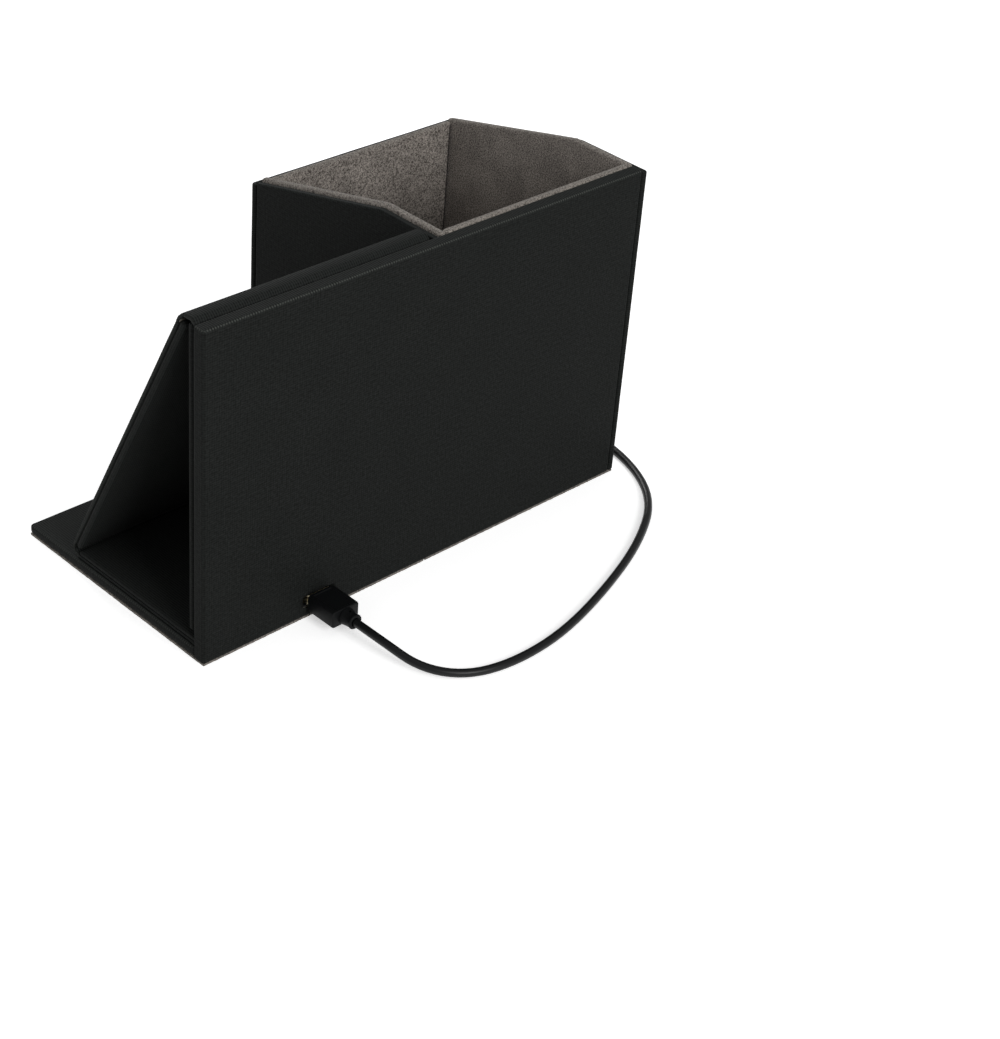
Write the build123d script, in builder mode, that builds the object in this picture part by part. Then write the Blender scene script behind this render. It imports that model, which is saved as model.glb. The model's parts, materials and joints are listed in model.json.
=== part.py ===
from build123d import *
import math
import os

os.makedirs("parts", exist_ok=True)

# A desk organiser: a cup and a leaning wireless charging stand, side by side on one long rear panel.
# Millimetres. X runs along the rear panel, +X towards the stand's open end and -X towards the cup's end.
# -Y is the front, which the charging panel faces, and +Y is the rear face with the charging port.
# Z = 0 is the table, and the origin is under the middle of the object's footprint.

# Overall sizes
length = 160.0
depth = 81.0
rear_height = 102.4
front_height = 88.6
level_rim_depth = 26.0
cup_width = 79.3

# Sheet and board thicknesses
rear_panel_t = 4.1
wall_t = 2.0
lining_t = 2.0
floor_t = 2.4
floor_suede_t = 0.6
pad_t = 0.6
leather_t = 0.4
suede_t = 0.45
flap_t = 3.0
panel_t = 3.25
foot_t = 2.4
back_t = 3.45

# Clearances
joint_gap = 0.2
layer_gap = 0.15
move_gap = 0.3
stand_gap = 1.5
stand_inset = 1.0
pad_inset = 0.3
overrun = 5.0

# Shapes that follow a piece's own thickness
edge_share = 0.35
core_edge_share = 0.3
middle_share = 0.5

# Heights that differ a little from the rear panel's
wall_drop = 0.6
lining_rise = 1.0

# The folding stand
spine_depth = 7.04
foot_reach = 57.4
back_lift = 8.3
fold_clearance = 0.2
spine_t = 0.8
spine_crown = 0.5
hinge_setback = 1.3
flap_setback = 0.5

# Places that the pieces share
stand_end = length / 2
cup_end = -length / 2
rear_face = depth / 2
front_face = -depth / 2
rear_inner = rear_face - rear_panel_t
cup_side = cup_end + cup_width
wall_height = rear_height - wall_drop
kink_y = rear_face - level_rim_depth
rim_fall = (wall_height - front_height) / (kink_y - front_face)
stand_low = cup_side + stand_gap
stand_high = stand_end - stand_inset
stand_middle = (stand_low + stand_high) / 2
flap_top = pad_t + flap_t
floor_top = pad_t + floor_t


def write(piece, name):
    """Label a finished piece and write it under its own name."""
    piece.label = name
    export_step(piece, "parts/" + name + ".step")


def rounded_block(low, high, radius, plane=Plane.XY):
    """A block between two corners, in the plane's own axes, with every edge rounded."""
    sizes = [b - a for a, b in zip(low, high)]
    middle = tuple((a + b) / 2 for a, b in zip(low, high))
    with BuildPart(plane) as block:
        with Locations(middle):
            Box(*sizes)
        fillet(block.edges(), radius)
    return block.part


def wrapped_block(low, high, skin, plane=Plane.XY):
    """A flat board and the skin wrapped all round it, as two solids face to face."""
    thickness = min(b - a for a, b in zip(low, high))
    outside = rounded_block(low, high, edge_share * thickness, plane)
    core_low = [a + skin for a in low]
    core_high = [b - skin for b in high]
    core = rounded_block(core_low, core_high, core_edge_share * (thickness - 2 * skin), plane)
    with BuildPart() as cover:
        add(outside)
        add(core, mode=Mode.SUBTRACT)
    return cover.part, core


def rim_height(y):
    """Height of the walls' top edge: level at the rear, then falling to the front."""
    return wall_height - max(0, kink_y - y) * rim_fall


def kinked_block(x_low, x_high, y_low, y_high, z_low, rise, radius):
    """A side panel of the cup, whose top edge follows the rim, with every edge rounded."""
    outline = [
        (y_low, z_low),
        (y_high, z_low),
        (y_high, wall_height + rise),
        (kink_y, wall_height + rise),
        (y_low, rim_height(y_low) + rise),
    ]
    with BuildPart() as block:
        with BuildSketch(Plane.YZ.offset(x_low)):
            with BuildLine():
                Polyline(outline, close=True)
            make_face()
        extrude(amount=x_high - x_low)
        fillet(block.edges(), radius)
    return block.part


def wrapped_kinked(x_low, x_high, y_low, y_high, z_low, rise, skin):
    """A side panel of the cup as a board and its skin."""
    thickness = x_high - x_low
    outside = kinked_block(x_low, x_high, y_low, y_high, z_low, rise, edge_share * thickness)
    core = kinked_block(x_low + skin, x_high - skin, y_low + skin, y_high - skin, z_low + skin,
                        rise - skin, core_edge_share * (thickness - 2 * skin))
    with BuildPart() as cover:
        add(outside)
        add(core, mode=Mode.SUBTRACT)
    return cover.part, core


# Charging port
port_x = stand_middle
port_z = 5.6
port_w = 11.2
port_h = 4.0
port_corner_r = 0.6
socket_recess = 0.3
socket_depth = 5.5
socket_w = 7.6
socket_h = 2.7
socket_wall = 0.22
socket_chamfer = 0.8
socket_board_t = 0.55
socket_board_w = 10.2
tongue_w = 4.0
tongue_t = 0.55
tongue_depth_share = 0.8
socket_low_z = port_z - socket_h / 2


def port_outline(width, height, cut):
    """Points of the port's section: flat and wide below, its two upper corners cut off."""
    return [
        (-width / 2, -height / 2),
        (width / 2, -height / 2),
        (width / 2, height / 2 - cut),
        (width / 2 - cut, height / 2),
        (-width / 2 + cut, height / 2),
        (-width / 2, height / 2 - cut),
    ]


def port_plane(y):
    """A plane across the port at y, looking out of the rear face, with its height upwards."""
    return Plane(origin=(port_x, y, port_z), x_dir=(-1, 0, 0), z_dir=(0, 1, 0))


def port_block(y_low, y_high, width, height, cut):
    """A straight length of the port's section."""
    with BuildPart() as block:
        with BuildSketch(port_plane(y_low)):
            with BuildLine():
                Polyline(port_outline(width, height, cut), close=True)
            make_face()
        extrude(amount=y_high - y_low)
    return block.part


# Rear panel
rear_low = (cup_end + wall_t + joint_gap, rear_inner, pad_t)
rear_high = (stand_end, rear_face, rear_height)
rear_wrap, rear_core = wrapped_block(rear_low, rear_high, leather_t)
with BuildPart() as port_hole:
    with BuildSketch(port_plane(rear_inner - overrun)):
        RectangleRounded(port_w, port_h, port_corner_r)
    extrude(amount=rear_panel_t + 2 * overrun)
with BuildPart() as rear_cover:
    add(rear_wrap)
    add(port_hole.part, mode=Mode.SUBTRACT)
write(rear_cover.part, "rear_cover")
with BuildPart() as rear_board:
    add(rear_core)
    add(port_hole.part, mode=Mode.SUBTRACT)
write(rear_board.part, "rear_board")

# Port socket on its own small circuit board
socket_outer_y = rear_face - socket_recess
socket_inner_y = socket_outer_y - socket_depth
with BuildPart() as usb_socket_shell:
    add(port_block(socket_inner_y, socket_outer_y, socket_w, socket_h, socket_chamfer))
    add(port_block(socket_inner_y + socket_wall, socket_outer_y, socket_w - 2 * socket_wall,
                   socket_h - 2 * socket_wall, socket_chamfer), mode=Mode.SUBTRACT)
write(usb_socket_shell.part, "usb_socket_shell")

tongue_y = socket_inner_y + socket_wall
with BuildPart() as usb_socket_tongue:
    with BuildSketch(port_plane(tongue_y)):
        Rectangle(tongue_w, tongue_t)
    extrude(amount=tongue_depth_share * socket_depth)
write(usb_socket_tongue.part, "usb_socket_tongue")

with BuildPart() as socket_board:
    with Locations((port_x, (socket_inner_y + socket_outer_y) / 2, socket_low_z - socket_board_t / 2)):
        Box(socket_board_w, socket_depth - socket_recess, socket_board_t)
write(socket_board.part, "socket_board")

# Cup walls: the two side walls stand between the rear panel and the front wall
side_front = front_face + wall_t + joint_gap
end_wall_cover, end_wall_board = wrapped_kinked(cup_end, cup_end + wall_t, side_front, rear_face,
                                                pad_t, 0, leather_t)
write(end_wall_cover, "end_wall_cover")
write(end_wall_board, "end_wall_board")

inner_wall_cover, inner_wall_board = wrapped_kinked(cup_side - wall_t, cup_side, side_front, rear_inner,
                                                    pad_t, 0, leather_t)
write(inner_wall_cover, "inner_wall_cover")
write(inner_wall_board, "inner_wall_board")

front_wall_cover, front_wall_board = wrapped_block(
    (cup_end, front_face, pad_t), (cup_side, front_face + wall_t, front_height), leather_t)
write(front_wall_cover, "front_wall_cover")
write(front_wall_board, "front_wall_board")

# Cup floor
cup_x_low = cup_end + wall_t
cup_x_high = cup_side - wall_t
with BuildPart() as cup_floor_board:
    with Locations(((cup_x_low + cup_x_high) / 2, (side_front + rear_inner) / 2, pad_t + floor_t / 2)):
        Box(cup_x_high - cup_x_low, rear_inner - side_front, floor_t)
write(cup_floor_board.part, "cup_floor_board")

# Suede-wrapped lining boards, which stand on the floor and a little above the walls
lining_top = wall_height + lining_rise
for name, x_low in (("lining_end", cup_x_low), ("lining_inner", cup_x_high - lining_t)):
    suede, board = wrapped_kinked(x_low, x_low + lining_t, side_front, rear_inner, floor_top,
                                  lining_rise, suede_t)
    write(suede, name + "_suede")
    write(board, name + "_board")

lining_x_low = cup_x_low + lining_t
lining_x_high = cup_x_high - lining_t
rear_suede, rear_lining = wrapped_block(
    (lining_x_low, rear_inner - lining_t, floor_top), (lining_x_high, rear_inner, lining_top), suede_t)
write(rear_suede, "lining_rear_suede")
write(rear_lining, "lining_rear_board")

front_suede, front_lining = wrapped_block(
    (lining_x_low, side_front, floor_top),
    (lining_x_high, side_front + lining_t, front_height + lining_rise), suede_t)
write(front_suede, "lining_front_suede")
write(front_lining, "lining_front_board")

with BuildPart() as cup_floor_suede:
    with Locations(((lining_x_low + lining_x_high) / 2, (side_front + rear_inner) / 2,
                    floor_top + floor_suede_t / 2)):
        Box(lining_x_high - lining_x_low, rear_inner - side_front - 2 * lining_t, floor_suede_t)
write(cup_floor_suede.part, "cup_floor_suede")

# Suede pads on the underside
pad_front = front_face + pad_inset
pad_rear = rear_face - pad_inset
with BuildPart() as cup_base_pad:
    with Locations(((cup_end + cup_side) / 2, (pad_front + pad_rear) / 2, pad_t / 2)):
        Box(cup_width - 2 * pad_inset, pad_rear - pad_front, pad_t)
write(cup_base_pad.part, "cup_base_pad")

flap_front = front_face + flap_setback
stand_pad_low = cup_side + pad_inset
stand_pad_high = stand_end - pad_inset
stand_pad_front = flap_front + pad_inset
with BuildPart() as stand_base_pad:
    with Locations(((stand_pad_low + stand_pad_high) / 2, (stand_pad_front + pad_rear) / 2, pad_t / 2)):
        Box(stand_pad_high - stand_pad_low, pad_rear - stand_pad_front, pad_t)
write(stand_base_pad.part, "stand_base_pad")

# Base flap, whose front part is the ledge before the folded stand
base_flap_cover, base_flap_board = wrapped_block(
    (cup_side + move_gap, flap_front, pad_t),
    (stand_end - move_gap, rear_inner - joint_gap, flap_top), leather_t)
write(base_flap_cover, "base_flap_cover")
write(base_flap_board, "base_flap_board")

# The stand is a folded sleeve: an outer strip that goes round all of it, and a liner on each of its panels.
# The notch is the line where the liners of the charging panel and the foot panel meet, and the hinge is
# the sleeve's upper front corner. They and the panel's thickness set how far the panel leans.
notch_y = rear_face - foot_reach
notch_z = flap_top + move_gap + foot_t + fold_clearance
hinge_y = rear_inner - spine_depth
hinge_rise = rear_height - notch_z
hinge_run = hinge_y - notch_y
lean = math.atan2(hinge_run, hinge_rise) + math.asin(panel_t / math.hypot(hinge_run, hinge_rise))
panel_plane = Plane(origin=(0, notch_y, notch_z), x_dir=(1, 0, 0),
                    z_dir=(0, -math.cos(lean), math.sin(lean)))
panel_reach = (hinge_rise - panel_t * math.sin(lean)) / math.cos(lean)
panel_foot = move_gap
panel_head = panel_reach - hinge_setback

# Layer shares of each panel's thickness: the outer strip is a little thinner than the liner
strip_share = 0.42
panel_strip_t = strip_share * panel_t
panel_liner_t = panel_t - panel_strip_t - layer_gap
foot_strip_t = strip_share * foot_t
back_strip_t = strip_share * back_t
back_liner_t = back_t - back_strip_t - layer_gap

# Flat lead from the port up the back and down the charging panel
lead_w = 3.0
lead_t = 0.4
lead_gap = 0.1
lead_x = port_x + socket_w / 2 + lead_w / 2 + joint_gap
back_strip_y = rear_inner - back_strip_t
lead_y = back_strip_y + lead_gap
back_top = rear_height - middle_share * spine_t
back_liner_top = back_top - lead_t - 2 * lead_gap
lead_groove_w = lead_w + 2 * lead_gap
lead_groove_t = lead_t + 2 * lead_gap

# Back of the sleeve, glued to the rear panel
with BuildPart() as back_strip:
    with Locations((stand_middle, rear_inner - back_strip_t / 2, (back_lift + back_top) / 2)):
        Box(stand_high - stand_low, back_strip_t, back_top - back_lift)
    fillet(back_strip.edges().filter_by(Axis.Y), edge_share * back_strip_t)
    with Locations((lead_x, back_strip_y + lead_groove_t / 2, (back_lift + back_top) / 2)):
        Box(lead_groove_w, lead_groove_t, back_top - back_lift + overrun, mode=Mode.SUBTRACT)
write(back_strip.part, "sleeve_back_strip")

back_liner_cover, back_liner_board = wrapped_block(
    (stand_low, back_strip_y - layer_gap - back_liner_t, back_lift),
    (stand_high, back_strip_y - layer_gap, back_liner_top), leather_t)
write(back_liner_cover, "back_liner_cover")
write(back_liner_board, "back_liner_board")

lead_end_y = hinge_y + hinge_setback
with BuildPart() as charge_lead_lower:
    with BuildSketch(Plane.YZ.offset(lead_x - lead_w / 2)):
        with BuildLine():
            Polyline([
                (lead_y, socket_low_z),
                (lead_y + lead_t, socket_low_z),
                (lead_y + lead_t, back_top - lead_gap),
                (lead_end_y, back_top - lead_gap),
                (lead_end_y, back_top - lead_gap - lead_t),
                (lead_y, back_top - lead_gap - lead_t),
            ], close=True)
        make_face()
    extrude(amount=lead_w)
write(charge_lead_lower.part, "charge_lead_lower")

# Spine of the sleeve, the crowned leather that turns over its top
spine_front = hinge_y + middle_share * spine_t
spine_rear = rear_inner - layer_gap
spine_edge_z = back_top + middle_share * spine_t
spine_mid_y = (spine_front + spine_rear) / 2
with BuildPart() as top_fold_skin:
    with BuildSketch(Plane.YZ.offset(stand_low)):
        with BuildLine():
            Line((spine_rear, back_top), (spine_rear, spine_edge_z))
            ThreePointArc((spine_rear, spine_edge_z), (spine_mid_y, spine_edge_z + spine_crown),
                          (spine_front, spine_edge_z))
            Line((spine_front, spine_edge_z), (spine_front, back_top))
            Line((spine_front, back_top), (spine_rear, back_top))
        make_face()
    extrude(amount=stand_high - stand_low)
    fillet(top_fold_skin.edges().filter_by(Axis.X).group_by(Axis.Z)[-1], edge_share * spine_t)
write(top_fold_skin.part, "top_fold_skin")

# Charging panel. In its plane, y runs up the panel from the notch and z runs out of its front face.
coil_r = 22.0
coil_hole_r = 10.0
coil_t = 1.1
ferrite_r = 23.0
ferrite_t = 0.6
board_w = 34.0
board_l = 21.0
board_t = 0.5
board_drop = 7.1
coil_drop = 4.0
chip_w = 6.0
chip_t = 0.5
chip_pitch = 9.0
pocket_gap = 0.1
coil_sink_share = 0.45
board_y = panel_head - board_drop - board_l / 2
coil_y = board_y - board_l / 2 - coil_drop - ferrite_r
panel_layer_z = panel_liner_t + layer_gap
coil_front_z = panel_layer_z + coil_sink_share * panel_strip_t
coil_back_z = coil_front_z - coil_t
ferrite_back_z = coil_back_z - ferrite_t
board_back_z = panel_liner_t - board_t - chip_t


def panel_disc(radius, z_low, thickness, hole_r=0):
    """A flat disc or ring in the charging panel, centred on the coil."""
    with BuildPart() as disc:
        with BuildSketch(panel_plane.offset(z_low)):
            with Locations((stand_middle, coil_y)):
                Circle(radius)
                if hole_r > 0:
                    Circle(hole_r, mode=Mode.SUBTRACT)
        extrude(amount=thickness)
    return disc.part


def panel_plate(x, y, z_low, width, height, thickness):
    """A flat rectangular piece in the charging panel."""
    with BuildPart() as plate:
        with BuildSketch(panel_plane.offset(z_low)):
            with Locations((x, y)):
                Rectangle(width, height)
        extrude(amount=thickness)
    return plate.part


lead_pocket_low = coil_y + middle_share * ferrite_r
coil_pocket = panel_disc(ferrite_r + pocket_gap, ferrite_back_z - pocket_gap,
                         coil_t + ferrite_t + 2 * pocket_gap)
board_pocket = panel_plate(stand_middle, board_y, board_back_z - pocket_gap, board_w + 2 * pocket_gap,
                           board_l + 2 * pocket_gap, board_t + chip_t + 2 * pocket_gap + overrun)
lead_back_z = panel_liner_t - lead_t
lead_pocket = panel_plate(lead_x, (lead_pocket_low + panel_head) / 2, lead_back_z - lead_gap, lead_groove_w,
                          panel_head - lead_pocket_low + 2 * overrun, lead_groove_t + overrun)

panel_front_shell, panel_front_core = wrapped_block(
    (stand_low, panel_foot, panel_layer_z), (stand_high, panel_head, panel_t), leather_t, panel_plane)
with BuildPart() as panel_front_cover:
    add(panel_front_shell)
    add(coil_pocket, mode=Mode.SUBTRACT)
write(panel_front_cover.part, "panel_front_cover")
with BuildPart() as panel_front_board:
    add(panel_front_core)
    add(coil_pocket, mode=Mode.SUBTRACT)
write(panel_front_board.part, "panel_front_board")

panel_liner_shell, panel_liner_core = wrapped_block(
    (stand_low, panel_foot, 0), (stand_high, panel_head, panel_liner_t), leather_t, panel_plane)
with BuildPart() as panel_liner_cover:
    add(panel_liner_shell)
    add(coil_pocket, mode=Mode.SUBTRACT)
    add(board_pocket, mode=Mode.SUBTRACT)
    add(lead_pocket, mode=Mode.SUBTRACT)
write(panel_liner_cover.part, "panel_liner_cover")
with BuildPart() as panel_liner_board:
    add(panel_liner_core)
    add(coil_pocket, mode=Mode.SUBTRACT)
    add(board_pocket, mode=Mode.SUBTRACT)
    add(lead_pocket, mode=Mode.SUBTRACT)
write(panel_liner_board.part, "panel_liner_board")

write(panel_disc(coil_r, coil_back_z, coil_t, coil_hole_r), "charging_coil")
write(panel_disc(ferrite_r, ferrite_back_z, ferrite_t), "ferrite_sheet")
write(panel_plate(stand_middle, board_y, board_back_z, board_w, board_l, board_t), "charger_board")

chip_z = board_back_z + board_t
with BuildPart() as charger_chips:
    with BuildSketch(panel_plane.offset(chip_z)):
        with Locations((stand_middle, board_y)):
            with GridLocations(chip_pitch, chip_pitch, 3, 2):
                Rectangle(chip_w, chip_w)
    extrude(amount=chip_t)
write(charger_chips.part, "charger_chips")

# Lead in two stretches: from the fold to the driver board, and from the board to the coil
lead_spans = [
    (board_y + board_l / 2, panel_head),
    (coil_y + ferrite_r, board_y - board_l / 2),
]
with BuildPart() as charge_lead_upper:
    for low, high in lead_spans:
        add(panel_plate(lead_x, (low + high) / 2, lead_back_z, lead_w, high - low, lead_t))
write(charge_lead_upper.part, "charge_lead_upper")

# Leather that turns round the fold at the panel's foot, flush with the panel's front face
foot_bottom = flap_top + move_gap
fold_drop = notch_z - foot_bottom
fold_inner_r = panel_t - leather_t
fold_low = math.asin(fold_drop / panel_t)
fold_mid = (fold_low - lean) / 2


def fold_point(radius, angle):
    """A point round the notch, with the angle measured down from level, towards the front."""
    return (notch_y - radius * math.cos(angle), notch_z - radius * math.sin(angle))


def along_panel(point, distance):
    """A point moved up the charging panel's slope."""
    return (point[0] + distance * math.sin(lean), point[1] + distance * math.cos(lean))


outer_top = fold_point(panel_t, -lean)
inner_top = fold_point(fold_inner_r, -lean)
with BuildPart() as foot_fold_skin:
    with BuildSketch(Plane.YZ.offset(stand_low)):
        with BuildLine():
            Line(along_panel(inner_top, panel_foot), along_panel(outer_top, panel_foot))
            Line(along_panel(outer_top, panel_foot), outer_top)
            ThreePointArc(outer_top, fold_point(panel_t, fold_mid), fold_point(panel_t, fold_low))
            Line(fold_point(panel_t, fold_low), fold_point(fold_inner_r, fold_low))
            ThreePointArc(fold_point(fold_inner_r, fold_low), fold_point(fold_inner_r, fold_mid), inner_top)
            Line(inner_top, along_panel(inner_top, panel_foot))
        make_face()
    extrude(amount=stand_high - stand_low)
write(foot_fold_skin.part, "foot_fold_skin")

# Foot panel, which lies on the base flap with its rear end under the back of the sleeve
foot_front_y = notch_y + move_gap
foot_rear_y = rear_inner - move_gap
foot_notch_w = 2 * (lead_x - port_x + lead_w / 2 + move_gap)
foot_notch_y = socket_inner_y - 2 * move_gap
with BuildPart() as foot_notch:
    with Locations((port_x, foot_notch_y + overrun, foot_bottom)):
        Box(foot_notch_w, 2 * overrun, 2 * overrun)

with BuildPart() as foot_strip:
    with Locations((stand_middle, (foot_front_y + foot_rear_y) / 2, foot_bottom + foot_strip_t / 2)):
        Box(stand_high - stand_low, foot_rear_y - foot_front_y, foot_strip_t)
    fillet(foot_strip.edges(), edge_share * foot_strip_t)
    add(foot_notch.part, mode=Mode.SUBTRACT)
write(foot_strip.part, "foot_strip")

foot_liner_shell, foot_liner_core = wrapped_block(
    (stand_low, foot_front_y, foot_bottom + foot_strip_t + layer_gap),
    (stand_high, foot_rear_y, foot_bottom + foot_t), leather_t)
with BuildPart() as foot_liner_cover:
    add(foot_liner_shell)
    add(foot_notch.part, mode=Mode.SUBTRACT)
write(foot_liner_cover.part, "foot_liner_cover")
with BuildPart() as foot_liner_board:
    add(foot_liner_core)
    add(foot_notch.part, mode=Mode.SUBTRACT)
write(foot_liner_board.part, "foot_liner_board")

# Plug of the charging cord, in the port
plug_shell_w = 6.85
plug_shell_h = 1.8
plug_shell_wall = 0.25
plug_shell_chamfer = 0.6
plug_shell_hold = 3.0
plug_stand_off = 0.8
plug_body_w = 9.4
plug_body_h = 5.2
plug_body_l = 10.8
plug_body_chamfer = 1.3
plug_boot_r = 2.35
plug_boot_l = 4.2
boot_edge_share = 0.3
cord_d = 2.5
cord_r = cord_d / 2
plug_tip_y = tongue_y + joint_gap
plug_face_y = rear_face + plug_stand_off
plug_end_y = plug_face_y + plug_body_l
boot_end_y = plug_end_y + plug_boot_l

plug_outer = port_block(plug_tip_y, plug_face_y + plug_shell_hold, plug_shell_w, plug_shell_h,
                        plug_shell_chamfer)
with BuildPart() as plug_shell:
    add(plug_outer)
    add(port_block(plug_tip_y, plug_face_y + plug_shell_hold, plug_shell_w - 2 * plug_shell_wall,
                   plug_shell_h - 2 * plug_shell_wall, plug_shell_chamfer), mode=Mode.SUBTRACT)
write(plug_shell.part, "plug_shell")

with BuildPart() as plug_body:
    with BuildSketch(port_plane(plug_face_y)):
        Rectangle(plug_body_w, plug_body_h)
    extrude(amount=plug_body_l)
    chamfer(plug_body.edges().filter_by(Axis.Y), plug_body_chamfer)
    fillet(plug_body.faces().sort_by(Axis.Y)[-1].edges(), edge_share * plug_body_chamfer)
    add(plug_outer, mode=Mode.SUBTRACT)
write(plug_body.part, "plug_body")

with BuildPart() as plug_boot:
    with BuildSketch(port_plane(plug_end_y)):
        Circle(plug_boot_r)
    extrude(amount=plug_boot_l)
    fillet(plug_boot.faces().sort_by(Axis.Y)[-1].edges(), boot_edge_share * plug_boot_r)
write(plug_boot.part, "plug_boot")

# Coil of the cord: it spirals in on the table, climbs a layer in half a turn and spirals out again
turns_in = 4
turns_out = 3.75
climb_turns = 0.5
quarter_turn = 0.25
coil_mid_r = 13.75
coil_spread = 3.0
coil_lift = 2.95
coil_floor = 0.55
coil_clearance = 3.0
coil_tail = 22.0
coil_x = -68.5
reverse_turn = turns_in + climb_turns / 2
wound_out_r = coil_mid_r + coil_spread * reverse_turn / 2
wound_in_r = coil_mid_r - coil_spread * reverse_turn / 2
wound_y = front_face - coil_clearance - cord_r - wound_out_r
wound_low_z = cord_r + coil_floor
wound_high_z = wound_low_z + coil_lift


def spiral_point(turn):
    """Place and heading on the coil after a number of turns, which start at its -X side."""
    angle = math.pi + 2 * math.pi * turn
    radius = wound_in_r + coil_spread * abs(turn - reverse_turn)
    side = (turn > reverse_turn) - (turn < reverse_turn)
    climbed = min(1, max(0, (turn - turns_in) / climb_turns))
    height = wound_low_z + coil_lift * climbed ** 2 * (3 - 2 * climbed)
    climb_rate = coil_lift * 6 * climbed * (1 - climbed) / climb_turns
    along = Vector(math.cos(angle), math.sin(angle), 0)
    across = Vector(-math.sin(angle), math.cos(angle), 0)
    place = Vector(coil_x, wound_y, height) + along * radius
    heading = across * 2 * math.pi * radius + along * side * coil_spread + Vector(0, 0, climb_rate)
    return place, heading.normalized()


def biarc(start, heading, end, last_heading):
    """Two arcs that join two places, each with its own heading."""
    chord = end - start
    both = heading + last_heading
    bend = 2 * (1 - heading.dot(last_heading))
    reach = (-chord.dot(both) + math.sqrt(chord.dot(both) ** 2 + bend * chord.dot(chord))) / bend
    first = start + heading * reach
    second = end - last_heading * reach
    middle = (first + second) * middle_share
    TangentArc(start, middle, tangent=heading)
    TangentArc(middle, end, tangent=second - first)


turn_count = turns_in + climb_turns + turns_out
coil_steps = round(turn_count / quarter_turn)
coil_places, coil_headings = zip(*[spiral_point(quarter_turn * step) for step in range(coil_steps + 1)])
coil_start = coil_places[0]
coil_heading = Vector(0, -1, 0)
coil_end = coil_places[-1]
coil_last_heading = Vector(1, 0, 0)
coil_headings = [coil_heading, *coil_headings[1:-1], coil_last_heading]
tube_end = coil_start - coil_heading * cord_d
tail_end = coil_end + coil_last_heading * coil_tail
with BuildPart() as cord_coil:
    with BuildLine() as coil_line:
        Line(tube_end, coil_start)
        for step in range(coil_steps):
            biarc(coil_places[step], coil_headings[step], coil_places[step + 1], coil_headings[step + 1])
        Line(coil_end, tail_end)
    with BuildSketch(Plane(origin=tube_end, z_dir=coil_heading)):
        Circle(cord_r)
    sweep(path=coil_line.wires()[0])
write(cord_coil.part, "cord_coil")

# Least gap between the coil's turns, measured on points along it
coil_wire = coil_line.wires()[0]
coil_samples = 900
coil_points = [tuple(coil_wire.position_at(i / coil_samples)) for i in range(coil_samples + 1)]
sample_skip = math.ceil(math.pi * wound_in_r / (coil_wire.length / coil_samples))
least_gap = min(
    math.dist(coil_points[i], coil_points[j])
    for i in range(len(coil_points))
    for j in range(i + sample_skip, len(coil_points))
) - cord_d
print("coil: length", round(coil_wire.length, 1), "least gap", round(least_gap, 2))

# Tie round the coil
tie_w = 5.0
tie_t = 0.4
tie_gap = 0.1
tie_angle = 45
tie_in_r = wound_in_r - cord_r - tie_gap
tie_out_r = wound_out_r + cord_r + tie_gap
tie_low = coil_floor - tie_gap
tie_high = wound_high_z + cord_r + tie_gap
tie_dir = Vector(1, 0, 0).rotate(Axis.Z, tie_angle)
tie_plane = Plane(origin=(coil_x, wound_y, 0), x_dir=tie_dir, z_dir=tie_dir.cross(Vector(0, 0, 1)))
with BuildPart() as cord_tie:
    with BuildSketch(tie_plane.offset(-tie_w / 2)):
        with Locations(((tie_in_r + tie_out_r) / 2, (tie_low + tie_high) / 2)):
            RectangleRounded(tie_out_r - tie_in_r + 2 * tie_t, tie_high - tie_low + 2 * tie_t, tie_t)
            Rectangle(tie_out_r - tie_in_r, tie_high - tie_low, mode=Mode.SUBTRACT)
    extrude(amount=tie_w)
write(cord_tie.part, "cord_tie")

# Free stretch of the cord: out of the plug, down to the table, round the cup's end and to the coil
table_z = cord_r
route = [
    (port_x, boot_end_y, port_z),
    (port_x, 67.5, port_z),
    (37.2, 79.5, 2.6),
    (28.5, 88.5, table_z),
    (14.5, 92.5, table_z),
    (-5.5, 91.5, table_z),
    (-30.0, 84.5, table_z),
    (-55.0, 74.5, table_z),
    (-76.0, 61.0, table_z),
    (-87.0, 41.0, table_z),
    (-89.8, 16.0, table_z),
    (-89.5, -12.0, table_z),
    (tube_end.X, -38.0, wound_low_z),
    tuple(tube_end),
]


def route_radii(points):
    """Radius of the arc at each corner of a route, as large as its two runs allow."""
    radii = []
    for before, here, after in zip(points, points[1:], points[2:]):
        run_in = Vector(here) - Vector(before)
        run_out = Vector(after) - Vector(here)
        half_turn = math.radians(run_in.get_angle(run_out)) / 2
        radii.append(arc_share * min(run_in.length, run_out.length) / math.tan(half_turn))
    return radii


arc_share = 0.45
cord_radii = route_radii(route)
print("cord radii", [round(r, 1) for r in cord_radii])
with BuildPart() as cord_tube:
    with BuildLine() as cord_line:
        FilletPolyline(*route, radius=cord_radii)
    with BuildSketch(port_plane(boot_end_y)):
        Circle(cord_r)
    sweep(path=cord_line.wires()[0])
write(cord_tube.part, "cord_tube")
tube_length = cord_line.wires()[0].length
section = math.pi * cord_r ** 2
print("cord tube: length", round(tube_length, 1), "volume over section times length",
      round(cord_tube.part.volume / (section * tube_length), 4))
print("coil: volume over section times length",
      round(cord_coil.part.volume / (section * coil_wire.length), 4))

# Plug at the cord's far end
usb_a_w = 15.6
usb_a_h = 8.6
usb_a_l = 20.0
usb_a_corner_r = 2.2
usb_a_edge_r = 0.8
relief_r = 3.1
relief_tip_r = 2.1
relief_l = 7.0
shell_w = 12.0
shell_h = 4.5
shell_wall = 0.3
shell_l = 12.0
shell_hold = 4.0
shell_hole_w = 2.4
shell_hole_l = 2.2
shell_hole_step = 5.2
insert_h = 1.9
insert_gap = 0.1


def far_plane(distance):
    """A plane across the far plug, at a distance from the cord's end, with its height upwards."""
    return Plane(origin=tail_end + coil_last_heading * distance, x_dir=(0, 1, 0), z_dir=(1, 0, 0))


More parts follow.
